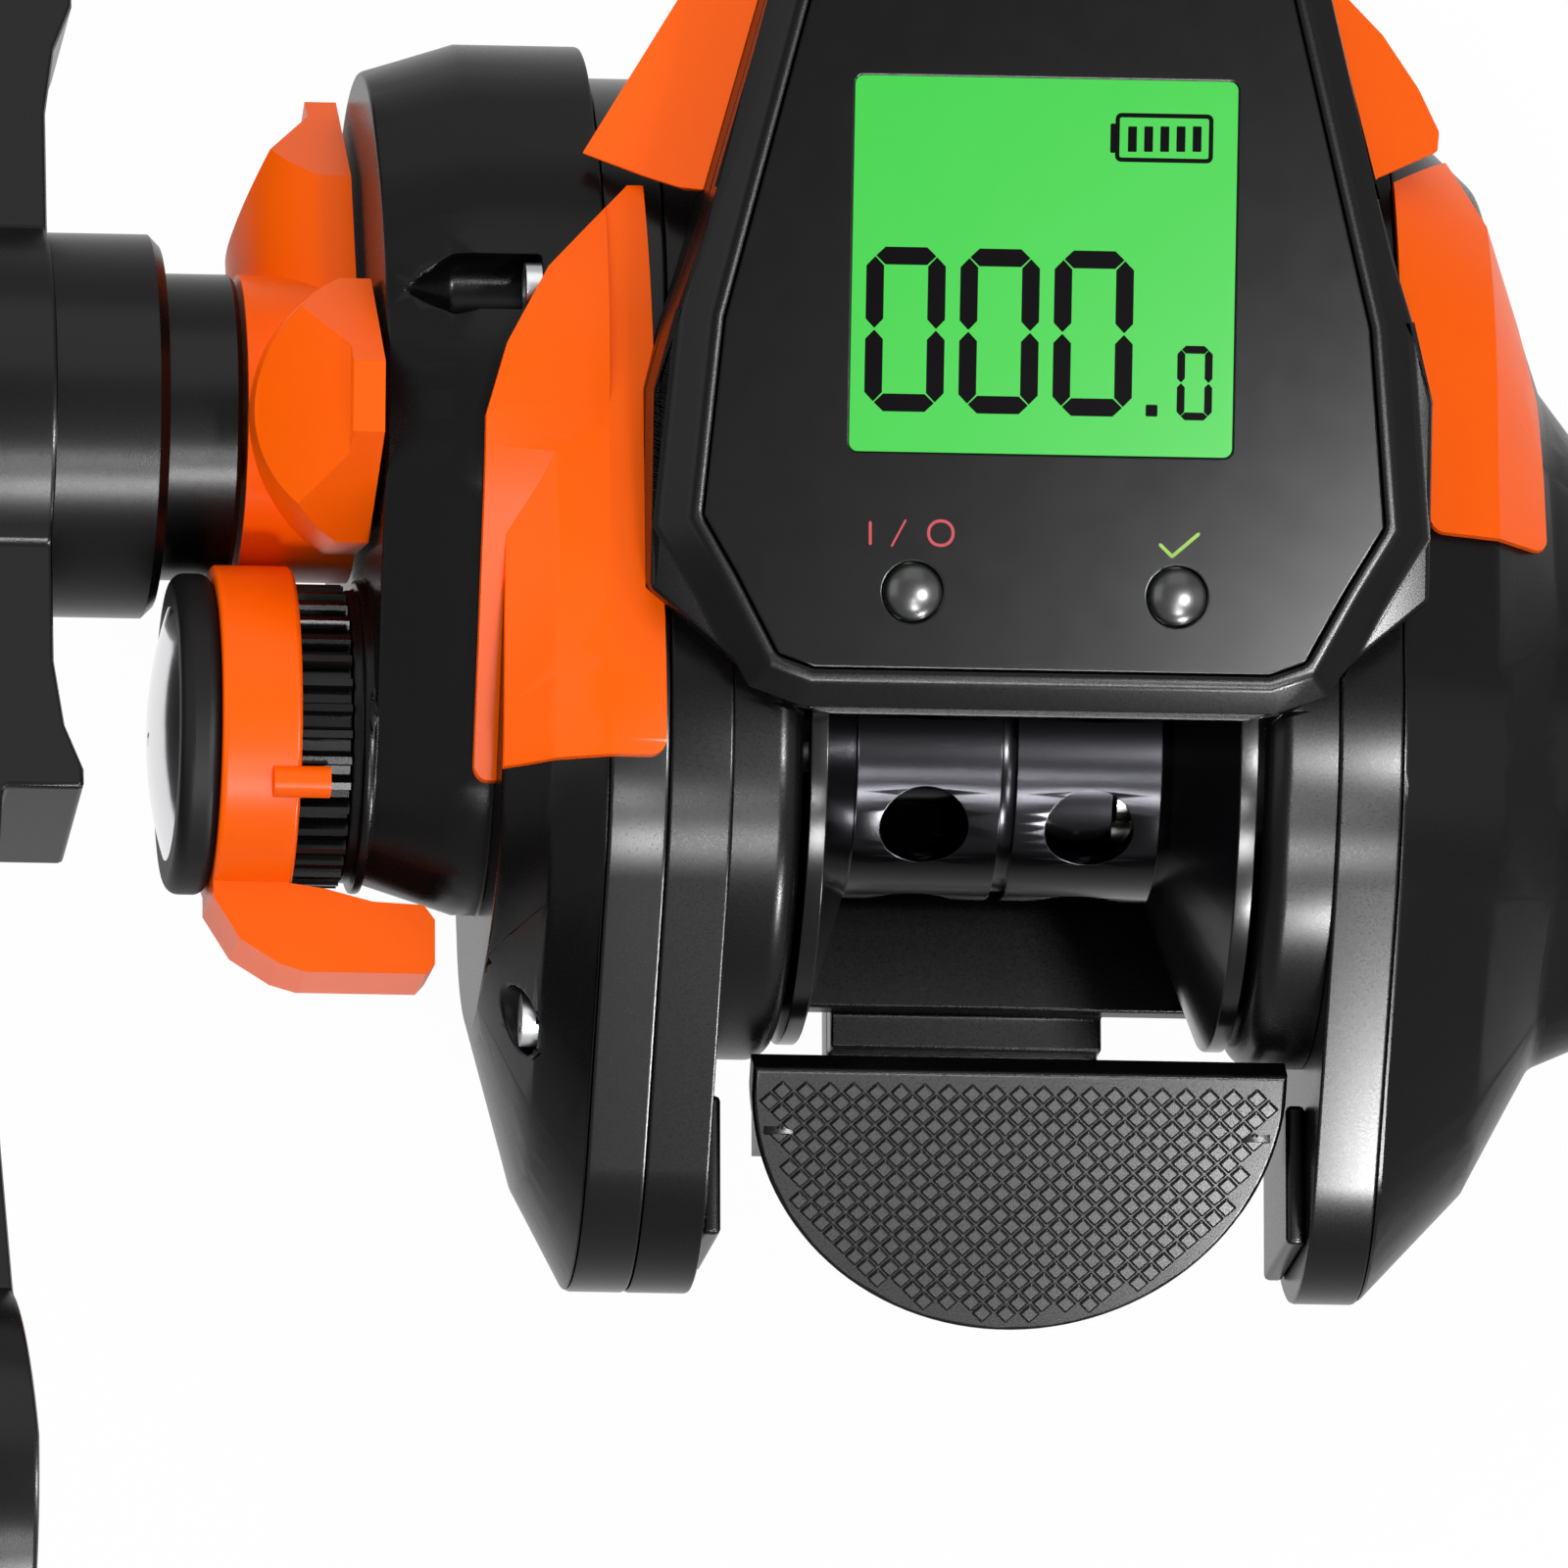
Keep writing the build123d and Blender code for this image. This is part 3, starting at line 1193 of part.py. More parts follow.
# Housing under the bezel, with its battery well, seal and battery
pod_bottom = -bezel_fall - bezel_depth
well_middle = (well_start + well_end) / 2
with BuildPart() as counter_housing:
    extrude(panel_face(BEZEL_POINTS, pod_bottom), amount=-housing_drop)
    with BuildSketch(across(-bezel_half)) as side_view:
        with BuildLine():
            Polyline((-panel_start - bezel_foot, body_top - bezel_foot), (housing_rear, housing_low_rear),
                     (hood_front - 2 * hood_wall, housing_low_front),
                     (hood_front + hood_wall, housing_low_front),
                     (bezel_end - 2 * bezel_foot, body_top), (bezel_end, 2 * body_top),
                     (-panel_start - bezel_foot, 2 * body_top), close=True)
        make_face()
    extrude(side_view.sketch, amount=2 * bezel_half, mode=Mode.INTERSECT)
    with BuildSketch(panel.offset(pod_bottom)) as cell_well:
        with Locations((0, well_middle)):
            Rectangle(2 * well_half, well_end - well_start)
    extrude(cell_well.sketch, amount=-well_depth, mode=Mode.SUBTRACT)
    with BuildSketch(panel.offset(pod_bottom)) as seal_groove:
        with Locations((0, well_middle)):
            Rectangle(2 * well_half + 4 * seal_width, well_end - well_start + 4 * seal_width)
            Rectangle(2 * well_half + 2 * seal_width, well_end - well_start + 2 * seal_width,
                      mode=Mode.SUBTRACT)
    extrude(seal_groove.sketch, amount=-seal_thickness, mode=Mode.SUBTRACT)
    clear_body()
finish(counter_housing, "counter_housing")

with BuildPart() as counter_seal:
    extrude(seal_groove.sketch, amount=-seal_thickness)
finish(counter_seal, "counter_seal")

with BuildPart() as battery:
    with BuildSketch(panel.offset(pod_bottom - well_depth)) as cell:
        with Locations((0, well_middle)):
            Rectangle(2 * well_half - slide_gap, well_end - well_start - slide_gap)
    extrude(cell.sketch, amount=battery_thickness)
    upright = Axis((0, 0, 0), (0, -sin(tip_angle), cos(tip_angle)))
    fillet(battery.edges().filter_by(upright), battery_thickness / 3)
finish(battery, "battery")

# Orange trims: two draped over the side shoulders and two sloping beside the pod
def trim_outline(inner, outer, back, apex, shares):
    """A trim's outline seen from above, between its inner and outer sides and its back and front ends."""
    return [(inner + a * (outer - inner), back + b * (apex - back)) for a, b in shares]


def plan_prism(points, low, height, mode=Mode.INTERSECT):
    """A plan outline raised into a block."""
    with BuildSketch(level(low)) as plan:
        with BuildLine():
            Polyline(*points, close=True)
        make_face()
        fillet(plan.vertices().sort_by(Axis.Y)[0:2], trim_thickness)
    extrude(plan.sketch, amount=height, mode=mode)


with BuildPart() as trim_rear_left:
    with BuildPart(mode=Mode.PRIVATE) as left_outer:
        body_slice(RING_OUT, ring_width, trim_thickness)
        cover_shape(trim_thickness)
    with BuildPart(mode=Mode.PRIVATE) as left_inner_body:
        body_slice(RING_OUT, ring_width, running_gap)
        cover_shape(running_gap)
    add(left_outer.part)
    plan_prism(trim_outline(trim_inner_left, trim_outer_left, trim_back_left, trim_apex_left,
                            left_trim_shares), trim_depth, 2 * trim_depth)
    add(left_inner_body.part, mode=Mode.SUBTRACT)
    disc(BOX_END, screw_seats[0] + screw_head_depth - BOX_END, recess_radius, screw_places[0],
         mode=Mode.SUBTRACT)
    add(counter_bezel.part, mode=Mode.SUBTRACT)
    add(counter_housing.part, mode=Mode.SUBTRACT)
finish(trim_rear_left, "trim_rear_left")

with BuildPart() as trim_rear_right:
    with BuildPart(mode=Mode.PRIVATE) as right_outer:
        palm_shape(trim_thickness)
    with BuildPart(mode=Mode.PRIVATE) as right_inner_body:
        palm_shape(running_gap)
    add(right_outer.part)
    plan_prism(trim_outline(trim_inner_right, trim_outer_right, trim_back_right, trim_apex_right,
                            right_trim_shares), 0, 3 * trim_depth)
    add(right_inner_body.part, mode=Mode.SUBTRACT)
    add(counter_bezel.part, mode=Mode.SUBTRACT)
    add(counter_housing.part, mode=Mode.SUBTRACT)
finish(trim_rear_right, "trim_rear_right")

skirt_turn = radians(skirt_angle)
for name, sign, shares in (("left", -1, left_skirt_shares), ("right", 1, right_skirt_shares)):
    outward = (sign * cos(skirt_turn), 0, -sin(skirt_turn))
    normal = (sign * sin(skirt_turn), 0, cos(skirt_turn))
    skirt_plane = Plane(origin=(sign * skirt_inner, 0, axis_height + skirt_rise), x_dir=outward,
                        z_dir=(normal[0], 0, normal[2]))
    forward = 1 if skirt_plane.y_dir.Y > 0 else -1
    with BuildPart() as skirt:
        with BuildSketch(skirt_plane) as skirt_face:
            with BuildLine():
                Polyline(*[(a * skirt_reach, forward * (skirt_back + b * (skirt_front - skirt_back)))
                           for a, b in shares], close=True)
            make_face()
        extrude(skirt_face.sketch, amount=-trim_thickness)
        clear_body()
        add(counter_bezel.part, mode=Mode.SUBTRACT)
        add(counter_housing.part, mode=Mode.SUBTRACT)
    finish(skirt, f"trim_front_{name}")

# Palm side: cover, brake dial and magnets
palm_wall_x = PALM_END - shell_wall
with BuildPart() as palm_cover:
    palm_shape()
    with BuildPart(mode=Mode.PRIVATE) as palm_space:
        palm_shape(-shell_wall)
        with BuildSketch(across(palm_wall_x)) as keep:
            Rectangle(2 * foot_length, 2 * foot_length)
        extrude(keep.sketch, amount=2 * shell_wall, mode=Mode.SUBTRACT)
    add(palm_space.part, mode=Mode.SUBTRACT)
    disc(palm_wall_x, shell_wall, dial_hub + running_gap, (dial_ahead, -dial_drop), mode=Mode.SUBTRACT)
finish(palm_cover, "palm_cover")

dial_module = 2 * dial_radius / (knurl_teeth + 2 * addendum_share)
with BuildPart() as brake_dial:
    gear(PALM_END + open_gap, dial_length, knurl_teeth, dial_module, 0, (dial_ahead, -dial_drop))
    disc(PALM_END + open_gap + dial_length, dial_length / 4, dial_radius - dial_length / 3,
         (dial_ahead, -dial_drop))
    disc(PALM_END - shell_wall - dial_hub_length, shell_wall + dial_hub_length + open_gap, dial_hub,
         (dial_ahead, -dial_drop))
finish(brake_dial, "brake_dial")

magnet_left = mid + spool_web / 2 + rotor_depth + side_gap
carrier_left = magnet_left + magnet_thickness
with BuildPart() as magnet_carrier:
    ring(carrier_left, magnet_ring_thickness, magnet_ring_outer, carrier_bore)
    ring(carrier_left, right_inner - carrier_left, carrier_bore + rotor_wall, carrier_bore)
    ring(right_inner - rotor_wall, rotor_wall, bearing_radius + rotor_wall, carrier_bore)
finish(magnet_carrier, "magnet_carrier")

with BuildPart() as brake_magnets:
    with BuildSketch(across(magnet_left)) as magnet_faces:
        with PolarLocations(magnet_row_radius, magnet_count):
            Circle(magnet_radius)
    extrude(magnet_faces.sketch, amount=magnet_thickness)
finish(brake_magnets, "brake_magnets")

# Cover screws in their recesses on the gear side
with BuildPart() as cover_screws:
    for place, seat in zip(screw_places, screw_seats):
        disc(seat, screw_head_depth, screw_head, place)
        disc(seat + screw_head_depth, RING_OUT - seat - screw_head_depth, screw_radius, place)
        disc(seat, screw_head_depth / 2, screw_head / 2, place, mode=Mode.SUBTRACT)
finish(cover_screws, "cover_screws")
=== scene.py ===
# %% [markdown]
# # A low-profile fishing reel with a lit line counter
# The reel's solids come in as a fixed frame, in metres, with the middle of the foot's underside at
# the origin, forward along +Y and up along +Z. This notebook dresses them: it gives every piece its
# finish, rounds the moulded edges, lays the digits on the display, prints the signs on the panel,
# puts domes on the buttons and adds the raised diamonds of the thumb bar's grip.

# %% Load the frame
import json
from math import atan2, degrees, pi, radians

import bmesh
import bpy
from mathutils import Matrix, Vector


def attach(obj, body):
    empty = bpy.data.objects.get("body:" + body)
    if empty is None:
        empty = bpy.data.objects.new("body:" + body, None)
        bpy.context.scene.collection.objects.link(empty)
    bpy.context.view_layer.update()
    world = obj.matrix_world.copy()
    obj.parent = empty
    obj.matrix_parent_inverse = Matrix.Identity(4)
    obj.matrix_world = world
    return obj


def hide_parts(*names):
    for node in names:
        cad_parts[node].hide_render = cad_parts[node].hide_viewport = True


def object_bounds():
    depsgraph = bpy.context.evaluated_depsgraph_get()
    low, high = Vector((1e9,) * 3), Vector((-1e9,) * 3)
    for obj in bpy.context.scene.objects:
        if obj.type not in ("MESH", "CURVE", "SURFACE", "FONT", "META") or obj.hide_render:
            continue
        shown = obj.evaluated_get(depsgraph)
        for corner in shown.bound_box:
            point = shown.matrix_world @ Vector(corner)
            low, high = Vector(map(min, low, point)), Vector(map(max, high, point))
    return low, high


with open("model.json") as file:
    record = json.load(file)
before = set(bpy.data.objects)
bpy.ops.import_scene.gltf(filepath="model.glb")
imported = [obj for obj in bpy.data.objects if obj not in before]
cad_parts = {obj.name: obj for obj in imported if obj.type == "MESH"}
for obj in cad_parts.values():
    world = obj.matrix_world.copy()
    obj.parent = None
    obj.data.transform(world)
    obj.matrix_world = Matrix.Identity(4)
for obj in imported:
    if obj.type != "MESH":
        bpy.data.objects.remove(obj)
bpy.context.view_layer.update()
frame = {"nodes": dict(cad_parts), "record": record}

MM = 0.001
NODES = frame["nodes"]
BODY_OF = {node: body for body, members in frame["record"]["behaviour"]["bodies"].items()
           for node in members}

# %% [markdown]
# ## Camera
# The photograph looks down on the reel from the angler's side through a long lens, so parallel edges
# stay nearly parallel. The camera could be placed by eye, but two directions measured on the picture
# fix it: which way across the reel and which way forward run in the image. The second is made square
# to the first, and the third is square to both.

# %% Camera at the photograph's angle
PIXELS = 1600
PIXELS_PER_MM = 18.0
# The camera's distance in metres, its sensor's width in millimetres, and how near and far it sees
DISTANCE = 4.0
SENSOR = 36.0
NEAREST, FARTHEST = 0.05, 20
SPOOL_AXIS = Vector((0, 0, 23 * MM))
SPOOL_PIXEL = (1020, 764)

image_right = Vector((1, -0.002, 0.1056)).normalized()
image_up = Vector((-0.0192, 0.98, 0.188))
image_up = (image_up - image_up.dot(image_right) * image_right).normalized()
image_back = image_right.cross(image_up)
aim = (SPOOL_AXIS + image_right * (PIXELS / 2 - SPOOL_PIXEL[0]) / PIXELS_PER_MM * MM
       - image_up * (PIXELS / 2 - SPOOL_PIXEL[1]) / PIXELS_PER_MM * MM)
turned = Matrix((image_right, image_up, image_back)).transposed().to_quaternion()
bpy.ops.object.camera_add()
camera = bpy.context.object
camera.matrix_world = Matrix.LocRotScale(aim + image_back * DISTANCE, turned, None)
camera.data.sensor_width = SENSOR
camera.data.lens = SENSOR * DISTANCE / (PIXELS / PIXELS_PER_MM * MM)
camera.data.clip_start, camera.data.clip_end = NEAREST, FARTHEST
bpy.context.scene.camera = camera
off_plumb = degrees(image_back.angle(Vector((0, 0, 1))))
print("lens", round(camera.data.lens), "mm, looking down at", round(off_plumb), "degrees off plumb")

# %% [markdown]
# ## Finishes
# Each finish starts from what the real surface is and how it was made. Every pattern runs on the
# object's own coordinates, with its size given in millimetres, so it stays put from any side.

# %% Colours and shader nodes
def linear(hex_colour):
    """An sRGB hex colour as linear light."""
    shares = [int(hex_colour[i:i + 2], 16) / 255 for i in (1, 3, 5)]
    return [share / 12.92 if share <= 0.04045 else ((share + 0.055) / 1.055) ** 2.4
            for share in shares] + [1]


def add(tree, kind, inputs=None, **settings):
    """Add a node with its settings, and set or link its inputs by their place or shown name."""
    made = tree.nodes.new(kind)
    for name, value in settings.items():
        setattr(made, name, value)
    for name, value in (inputs or {}).items():
        shown = [socket for socket in made.inputs if socket.enabled and socket.name == name]
        target = made.inputs[name] if isinstance(name, int) else shown[0]
        if isinstance(value, bpy.types.NodeSocket):
            tree.links.new(value, target)
        else:
            target.default_value = value
    return made


def result(node):
    """The first output that a node shows."""
    return next(socket for socket in node.outputs if socket.enabled)


print("mid grey is", round(linear("#808080")[0], 3), "as linear light")

# %% Finishes of the real pieces
PATCH_MM = 9.0


def finish(name, dark, light, roughness, grain_mm, relief_mm, stretch=(1, 1, 1), spread=0.06,
           **shader):
    """Two close colours in soft patches, a grain of a real size, and uneven roughness."""
    made = bpy.data.materials.new(name)
    made.use_nodes = True
    tree = made.node_tree
    tree.nodes.clear()
    place = add(tree, "ShaderNodeTexCoord").outputs["Object"]
    patches = add(tree, "ShaderNodeTexNoise", {"Vector": place, "Scale": 1 / (PATCH_MM * MM),
                                               "Detail": 3})
    colour = add(tree, "ShaderNodeMix", {"Factor": result(patches), "A": linear(dark),
                                         "B": linear(light)}, data_type="RGBA")
    drawn = add(tree, "ShaderNodeMapping", {"Vector": place, "Scale": stretch})
    grain = add(tree, "ShaderNodeTexNoise", {"Vector": drawn.outputs["Vector"],
                                             "Scale": 1 / (grain_mm * MM), "Detail": 4,
                                             "Roughness": 0.6})
    uneven = add(tree, "ShaderNodeMapRange", {"Value": result(grain), "To Min": roughness - spread,
                                              "To Max": roughness + spread})
    relief = add(tree, "ShaderNodeBump", {"Height": result(grain), "Distance": relief_mm * MM,
                                          "Strength": 1.0})
    surface = add(tree, "ShaderNodeBsdfPrincipled", {"Base Color": result(colour),
                                                     "Roughness": result(uneven),
                                                     "Normal": result(relief), **shader})
    out = add(tree, "ShaderNodeOutputMaterial")
    tree.links.new(surface.outputs["BSDF"], out.inputs["Surface"])
    return made


# How strongly a surface mirrors when it is looked at squarely, from the display's ink to the frame
INK_GLOSS, LACQUER_GLOSS, LOW_GLOSS, MID_GLOSS = (
    {"Specular IOR Level": level} for level in (0.01, 0.08, 0.1, 0.14))
# Turning marks: the grain is squeezed along the axis that the piece was turned on
TURNED, SPOOL_TURNED = (6, 1, 1), (8, 0.6, 0.6)
LIT = {"Emission Color": linear("#3ED248"), "Emission Strength": 1.0}
FINISH = {
    # Glass-filled nylon, moulded and painted satin: a fine orange peel, and highlights that spread
    "black_body": finish("satin_nylon", "#060607", "#0A0A0B", roughness=0.28, grain_mm=0.14,
                         relief_mm=0.0008, **LOW_GLOSS),
    # Cast aluminium under satin paint: a little tighter than the covers
    "black_frame": finish("satin_paint", "#060607", "#09090A", roughness=0.26, grain_mm=0.14,
                          relief_mm=0.0006, **MID_GLOSS),
    # Turned aluminium under black paint: soft highlights with faint turning marks
    "black_satin": finish("turned_paint", "#060607", "#09090A", roughness=0.28, grain_mm=0.15,
                          relief_mm=0.0006, stretch=TURNED, **MID_GLOSS),
    # ABS in orange under clear lacquer: a flat bright colour, and gloss kept low so that it stays pure
    "orange_gloss": finish("lacquered_orange", "#FA5C00", "#FE6203", roughness=0.32, grain_mm=0.6,
                           relief_mm=0.0004, spread=0.03, **LACQUER_GLOSS),
    # Black acrylic window, polished but hard coated, so a lamp in it is a soft glow
    "black_gloss": finish("polished_acrylic", "#030304", "#050506", roughness=0.22, grain_mm=2.0,
                          relief_mm=0.0002, spread=0.02, **LOW_GLOSS),
    # Display glass lit from behind: the light is the colour
    "display": finish("lit_display", "#050D06", "#071008", roughness=0.3, grain_mm=3.0,
                      relief_mm=0.0003, spread=0.02, **LIT, **LOW_GLOSS),
    # Spool: aluminium, turned, then anodised dark, so rings of turning marks show across the axis
    "spool_metal": finish("dark_anodised", "#121213", "#18181A", roughness=0.2, grain_mm=0.12,
                          relief_mm=0.001, stretch=SPOOL_TURNED, Metallic=1.0),
    # Stainless screws and shafts, ground
    "steel": finish("ground_steel", "#9A9B9E", "#B4B5B8", roughness=0.3, grain_mm=0.1,
                    relief_mm=0.003, stretch=TURNED, Metallic=1.0),
    # Chromium over nickel, polished before plating
    "chrome": finish("plated", "#C8C8CC", "#D8D8DA", roughness=0.12, grain_mm=1.0,
                     relief_mm=0.001, spread=0.03, Metallic=1.0),
    # Brass gears and bushes, cut and left bare
    "brass": finish("machined_brass", "#B18A3E", "#C59C4C", roughness=0.28, grain_mm=0.12,
                    relief_mm=0.003, stretch=TURNED, Metallic=1.0),
    # Aluminium turned bright and left clear
    "bright_aluminium": finish("turned_aluminium", "#BFC1C4", "#D0D2D5", roughness=0.24,
                               grain_mm=0.12, relief_mm=0.003, stretch=TURNED, Metallic=1.0),
    # Rubber: matt, with a fine moulded grain
    "black_rubber": finish("moulded_rubber", "#0E0E0F", "#141415", roughness=0.5, grain_mm=0.15,
                           relief_mm=0.006, **LOW_GLOSS),
    # Foamed rubber of the handle knobs: closed cells that break up any gloss
    "knob_foam": finish("foamed_rubber", "#111112", "#19191A", roughness=0.62, grain_mm=0.35,
                        relief_mm=0.03, **LOW_GLOSS),
    # Green solder mask over glass cloth
    "board": finish("solder_mask", "#0E4E22", "#15602C", roughness=0.32, grain_mm=0.8,
                    relief_mm=0.01),
    # Natural nylon, moulded: pale and a little waxy
    "nylon": finish("natural_nylon", "#C8C6BC", "#D6D4CB", roughness=0.42, grain_mm=0.3,
                    relief_mm=0.004),
    # Woven carbon friction cloth: dull threads
    "felt": finish("carbon_cloth", "#1C1C1D", "#29292B", roughness=0.8, grain_mm=0.25,
                   relief_mm=0.03),
    # Neodymium magnets under nickel
    "magnet": finish("nickel_plate", "#A8A7A2", "#B9B8B4", roughness=0.22, grain_mm=0.4,
                     relief_mm=0.001, Metallic=1.0),
    # Printed signs on the panel, as matt as the ink is
    "red_ink": finish("red_print", "#B93843", "#C8434F", roughness=0.5, grain_mm=0.5,
                      relief_mm=0.001, **LOW_GLOSS),
    "green_ink": finish("green_print", "#8CBA42", "#9CC84E", roughness=0.5, grain_mm=0.5,
                        relief_mm=0.001, **LOW_GLOSS),
    # Polycarbonate button caps, polished
    "clear_cap": finish("polished_cap", "#141416", "#19191B", roughness=0.28, grain_mm=1.0,
                        relief_mm=0.0004, spread=0.02),
    # The display's liquid crystal, where it is dark
    "crystal": finish("crystal_ink", "#060406", "#0A070A", roughness=0.4, grain_mm=0.5,
                      relief_mm=0.001, spread=0.02, **INK_GLOSS),
}
print(len(FINISH), "finishes")

# %% [markdown]
# ## The spool's two surfaces
# The arbor keeps its anodised metal between the flanges, and the paint starts where the flanges do.
# The line between them is a place along the axis, so one material holds both.

# %% Black flanges on the spool
ARBOR_MIDDLE, ARBOR_REACH = -0.5 * MM, 9.4 * MM
FLANGE_PAINT = "#070709"
spool_tree = FINISH["spool_metal"].node_tree
shader = next(node for node in spool_tree.nodes if node.type == "BSDF_PRINCIPLED")
across = add(spool_tree, "ShaderNodeSeparateXYZ",
             {0: add(spool_tree, "ShaderNodeTexCoord").outputs["Object"]}).outputs["X"]
bare = add(spool_tree, "ShaderNodeMath", {0: across, 1: ARBOR_MIDDLE, 2: ARBOR_REACH},
           operation="COMPARE")
metal = shader.inputs["Base Color"].links[0].from_socket
paint = add(spool_tree, "ShaderNodeMix", {"Factor": bare.outputs[0], "A": linear(FLANGE_PAINT),
                                          "B": metal}, data_type="RGBA")
spool_tree.links.new(result(paint), shader.inputs["Base Color"])
spool_tree.links.new(bare.outputs[0], shader.inputs["Metallic"])
shader.inputs["Specular IOR Level"].default_value = MID_GLOSS["Specular IOR Level"]
print("flanges painted beyond", round(1000 * ARBOR_REACH, 1), "mm")

# %% Finishes on the solids
SLOT_OF = {entry["node"]: entry["material_slot"] for entry in frame["record"]["subparts"]}
# Two pieces look other than their slot's name
FINISH_OF = {**SLOT_OF, "brake_rotor": "spool_metal", "frame": "black_body"}
for name, piece in NODES.items():
    piece.data.materials.clear()
    piece.data.materials.append(FINISH[FINISH_OF[name]])
print(len(NODES), "pieces finished")

# %% [markdown]
# ## Rounded edges
# A moulded or cast edge is never sharp: its small round is what catches a thin line of light. Each
# piece that shows is copied, its loose triangles are merged into plain faces, and its corners get a
# real bevel. The copy then stands for the solid.

# %% How each piece is rounded
# Each piece's round, in millimetres
ROUNDED = {"cheeks": 0.1, "ring_plate": 0.25, "gear_cover": 0.2, "palm_cover": 0.35,
           "counter_bezel": 0.3, "face_panel": 0.15, "counter_housing": 0.3, "thumb_bar_guides": 0.3,
           "trim_rear_left": 0.12, "trim_rear_right": 0.12, "trim_front_left": 0.2,
           "trim_front_right": 0.2, "handle_arm": 0.35, "handle_nut": 0.3, "drag_adjuster": 0.25,
           "reel_foot": 0.3, "thumb_bar": 0.2, "nut_retainer": 0.2, "brake_dial": 0.15,
           "line_guide": 0.2, "spool": 0.08, "frame": 0.2}
# Pieces whose rounds shrink where they would run into each other
CLAMPED = ("thumb_bar", "drag_adjuster", "trim_front_left", "trim_rear_left", "trim_rear_right")
# How near points are merged into one, in millimetres, and the pieces whose short edges need more
MERGE_MM, WIDE_MERGE_MM = 0.002, 0.05
MERGED_WIDE = (*CLAMPED, "gear_cover")
ROUND_STEPS = 2
# Faces within the first angle are one plane, and an edge above the second is a corner
ONE_PLANE, CORNER = radians(0.6), radians(28)
# Edges below these angles are shaded smooth, on a rounded copy and on a plain solid
SMOOTH_SHELL, SMOOTH_PLAIN = radians(32), radians(30)
print(len(ROUNDED), "pieces to round,", len(MERGED_WIDE), "of them with short edges")


# %% Round the edges of what shows
def select_only(piece):
    """Make a piece the only one that operators act on."""
    bpy.ops.object.select_all(action="DESELECT")
    piece.select_set(True)
    bpy.context.view_layer.objects.active = piece


def rounded(name, round_mm, merge_mm):
    """A copy of a solid with bevelled corners, riding where the solid rides."""
    source = NODES[name]
    piece = source.copy()
    piece.data = source.data.copy()
    piece.name = f"{name}_shell"
    bpy.context.collection.objects.link(piece)
    select_only(piece)
    bpy.ops.object.mode_set(mode="EDIT")
    bpy.ops.mesh.select_all(action="SELECT")
    bpy.ops.mesh.remove_doubles(threshold=merge_mm * MM)
    bpy.ops.mesh.dissolve_limited(angle_limit=ONE_PLANE)
    bpy.ops.object.mode_set(mode="OBJECT")
    bevel = piece.modifiers.new("round", "BEVEL")
    bevel.width, bevel.segments, bevel.limit_method = round_mm * MM, ROUND_STEPS, "ANGLE"
    bevel.angle_limit = CORNER
    bevel.miter_outer = "MITER_ARC"
    bevel.use_clamp_overlap = name in CLAMPED
    bpy.ops.object.modifier_apply(modifier=bevel.name)
    bpy.ops.object.shade_smooth_by_angle(angle=SMOOTH_SHELL)
    flat = piece.modifiers.new("flat", "WEIGHTED_NORMAL")
    flat.keep_sharp = True
    bpy.ops.object.modifier_apply(modifier=flat.name)
    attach(piece, BODY_OF[name])
    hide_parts(name)
    return piece


for name, round_mm in ROUNDED.items():
    shell = rounded(name, round_mm, WIDE_MERGE_MM if name in MERGED_WIDE else MERGE_MM)
    print(shell.name, len(shell.data.polygons), "faces")
for name, piece in NODES.items():
    if name not in ROUNDED:
        select_only(piece)
        bpy.ops.object.shade_smooth_by_angle(angle=SMOOTH_PLAIN)

# %% [markdown]
# ## The display
# The counter shows tenths on a liquid-crystal display, whose digits are seven bars each, and a nought
# uses six of them. For each nought a level bar and an upright one are modelled, flat strips with
# drawn ends, and copied to the six places, on a plane that lies on the tipped glass.

# %% The panel's plane
PANEL_TIP = radians(11)
PANEL_PLACE = (0, -3.8 * MM, 44.3 * MM)
PANEL = Matrix.Translation(PANEL_PLACE) @ Matrix.Rotation(PANEL_TIP, 4, "X")


def on_panel(x_px, y_px):
    """The place on the panel, in metres, that a point of the picture shows."""
    eye = camera.matrix_world.translation
    across, upright = image_right * (x_px - PIXELS / 2), image_up * (y_px - PIXELS / 2)
    ray = (aim + (across - upright) / PIXELS_PER_MM * MM) - eye
    out = PANEL.to_3x3() @ Vector((0, 0, 1))
    reach = (PANEL.translation - eye).dot(out) / ray.dot(out)
    return tuple((PANEL.inverted() @ (eye + ray * reach)).to_2d())


print("panel tipped", round(degrees(PANEL_TIP)), "degrees towards the angler")

# %% Noughts on the display
INK_HEIGHT = 0.05 * MM
# The gap where two bars meet and the width of a bar's pointed ends, as shares of the bar's width
JOINT_SHARE = 0.07
POINT_SHARE = 0.05
# A face or edge lies along an axis when its cosine with the axis is above this
ALONG = 0.9
# Boxes are left, right, top and bottom, in pixels of the photograph
DIGIT_BOX, DIGIT_STEP, DIGIT_COUNT, DIGIT_STROKE_MM = (883, 964, 252, 420), (96, 96, 2, 2.4), 3, 1.0
TENTH_BOX, TENTH_STROKE_MM = (1201, 1237, 353, 429), 0.44


def panel_box(left_px, right_px, top_px, bottom_px):
    """The sides on the panel, in metres, of an upright box of the picture."""
    across, upright = (left_px + right_px) / 2, (top_px + bottom_px) / 2
    return (on_panel(left_px, upright)[0], on_panel(right_px, upright)[0],
            on_panel(across, top_px)[1], on_panel(across, bottom_px)[1])


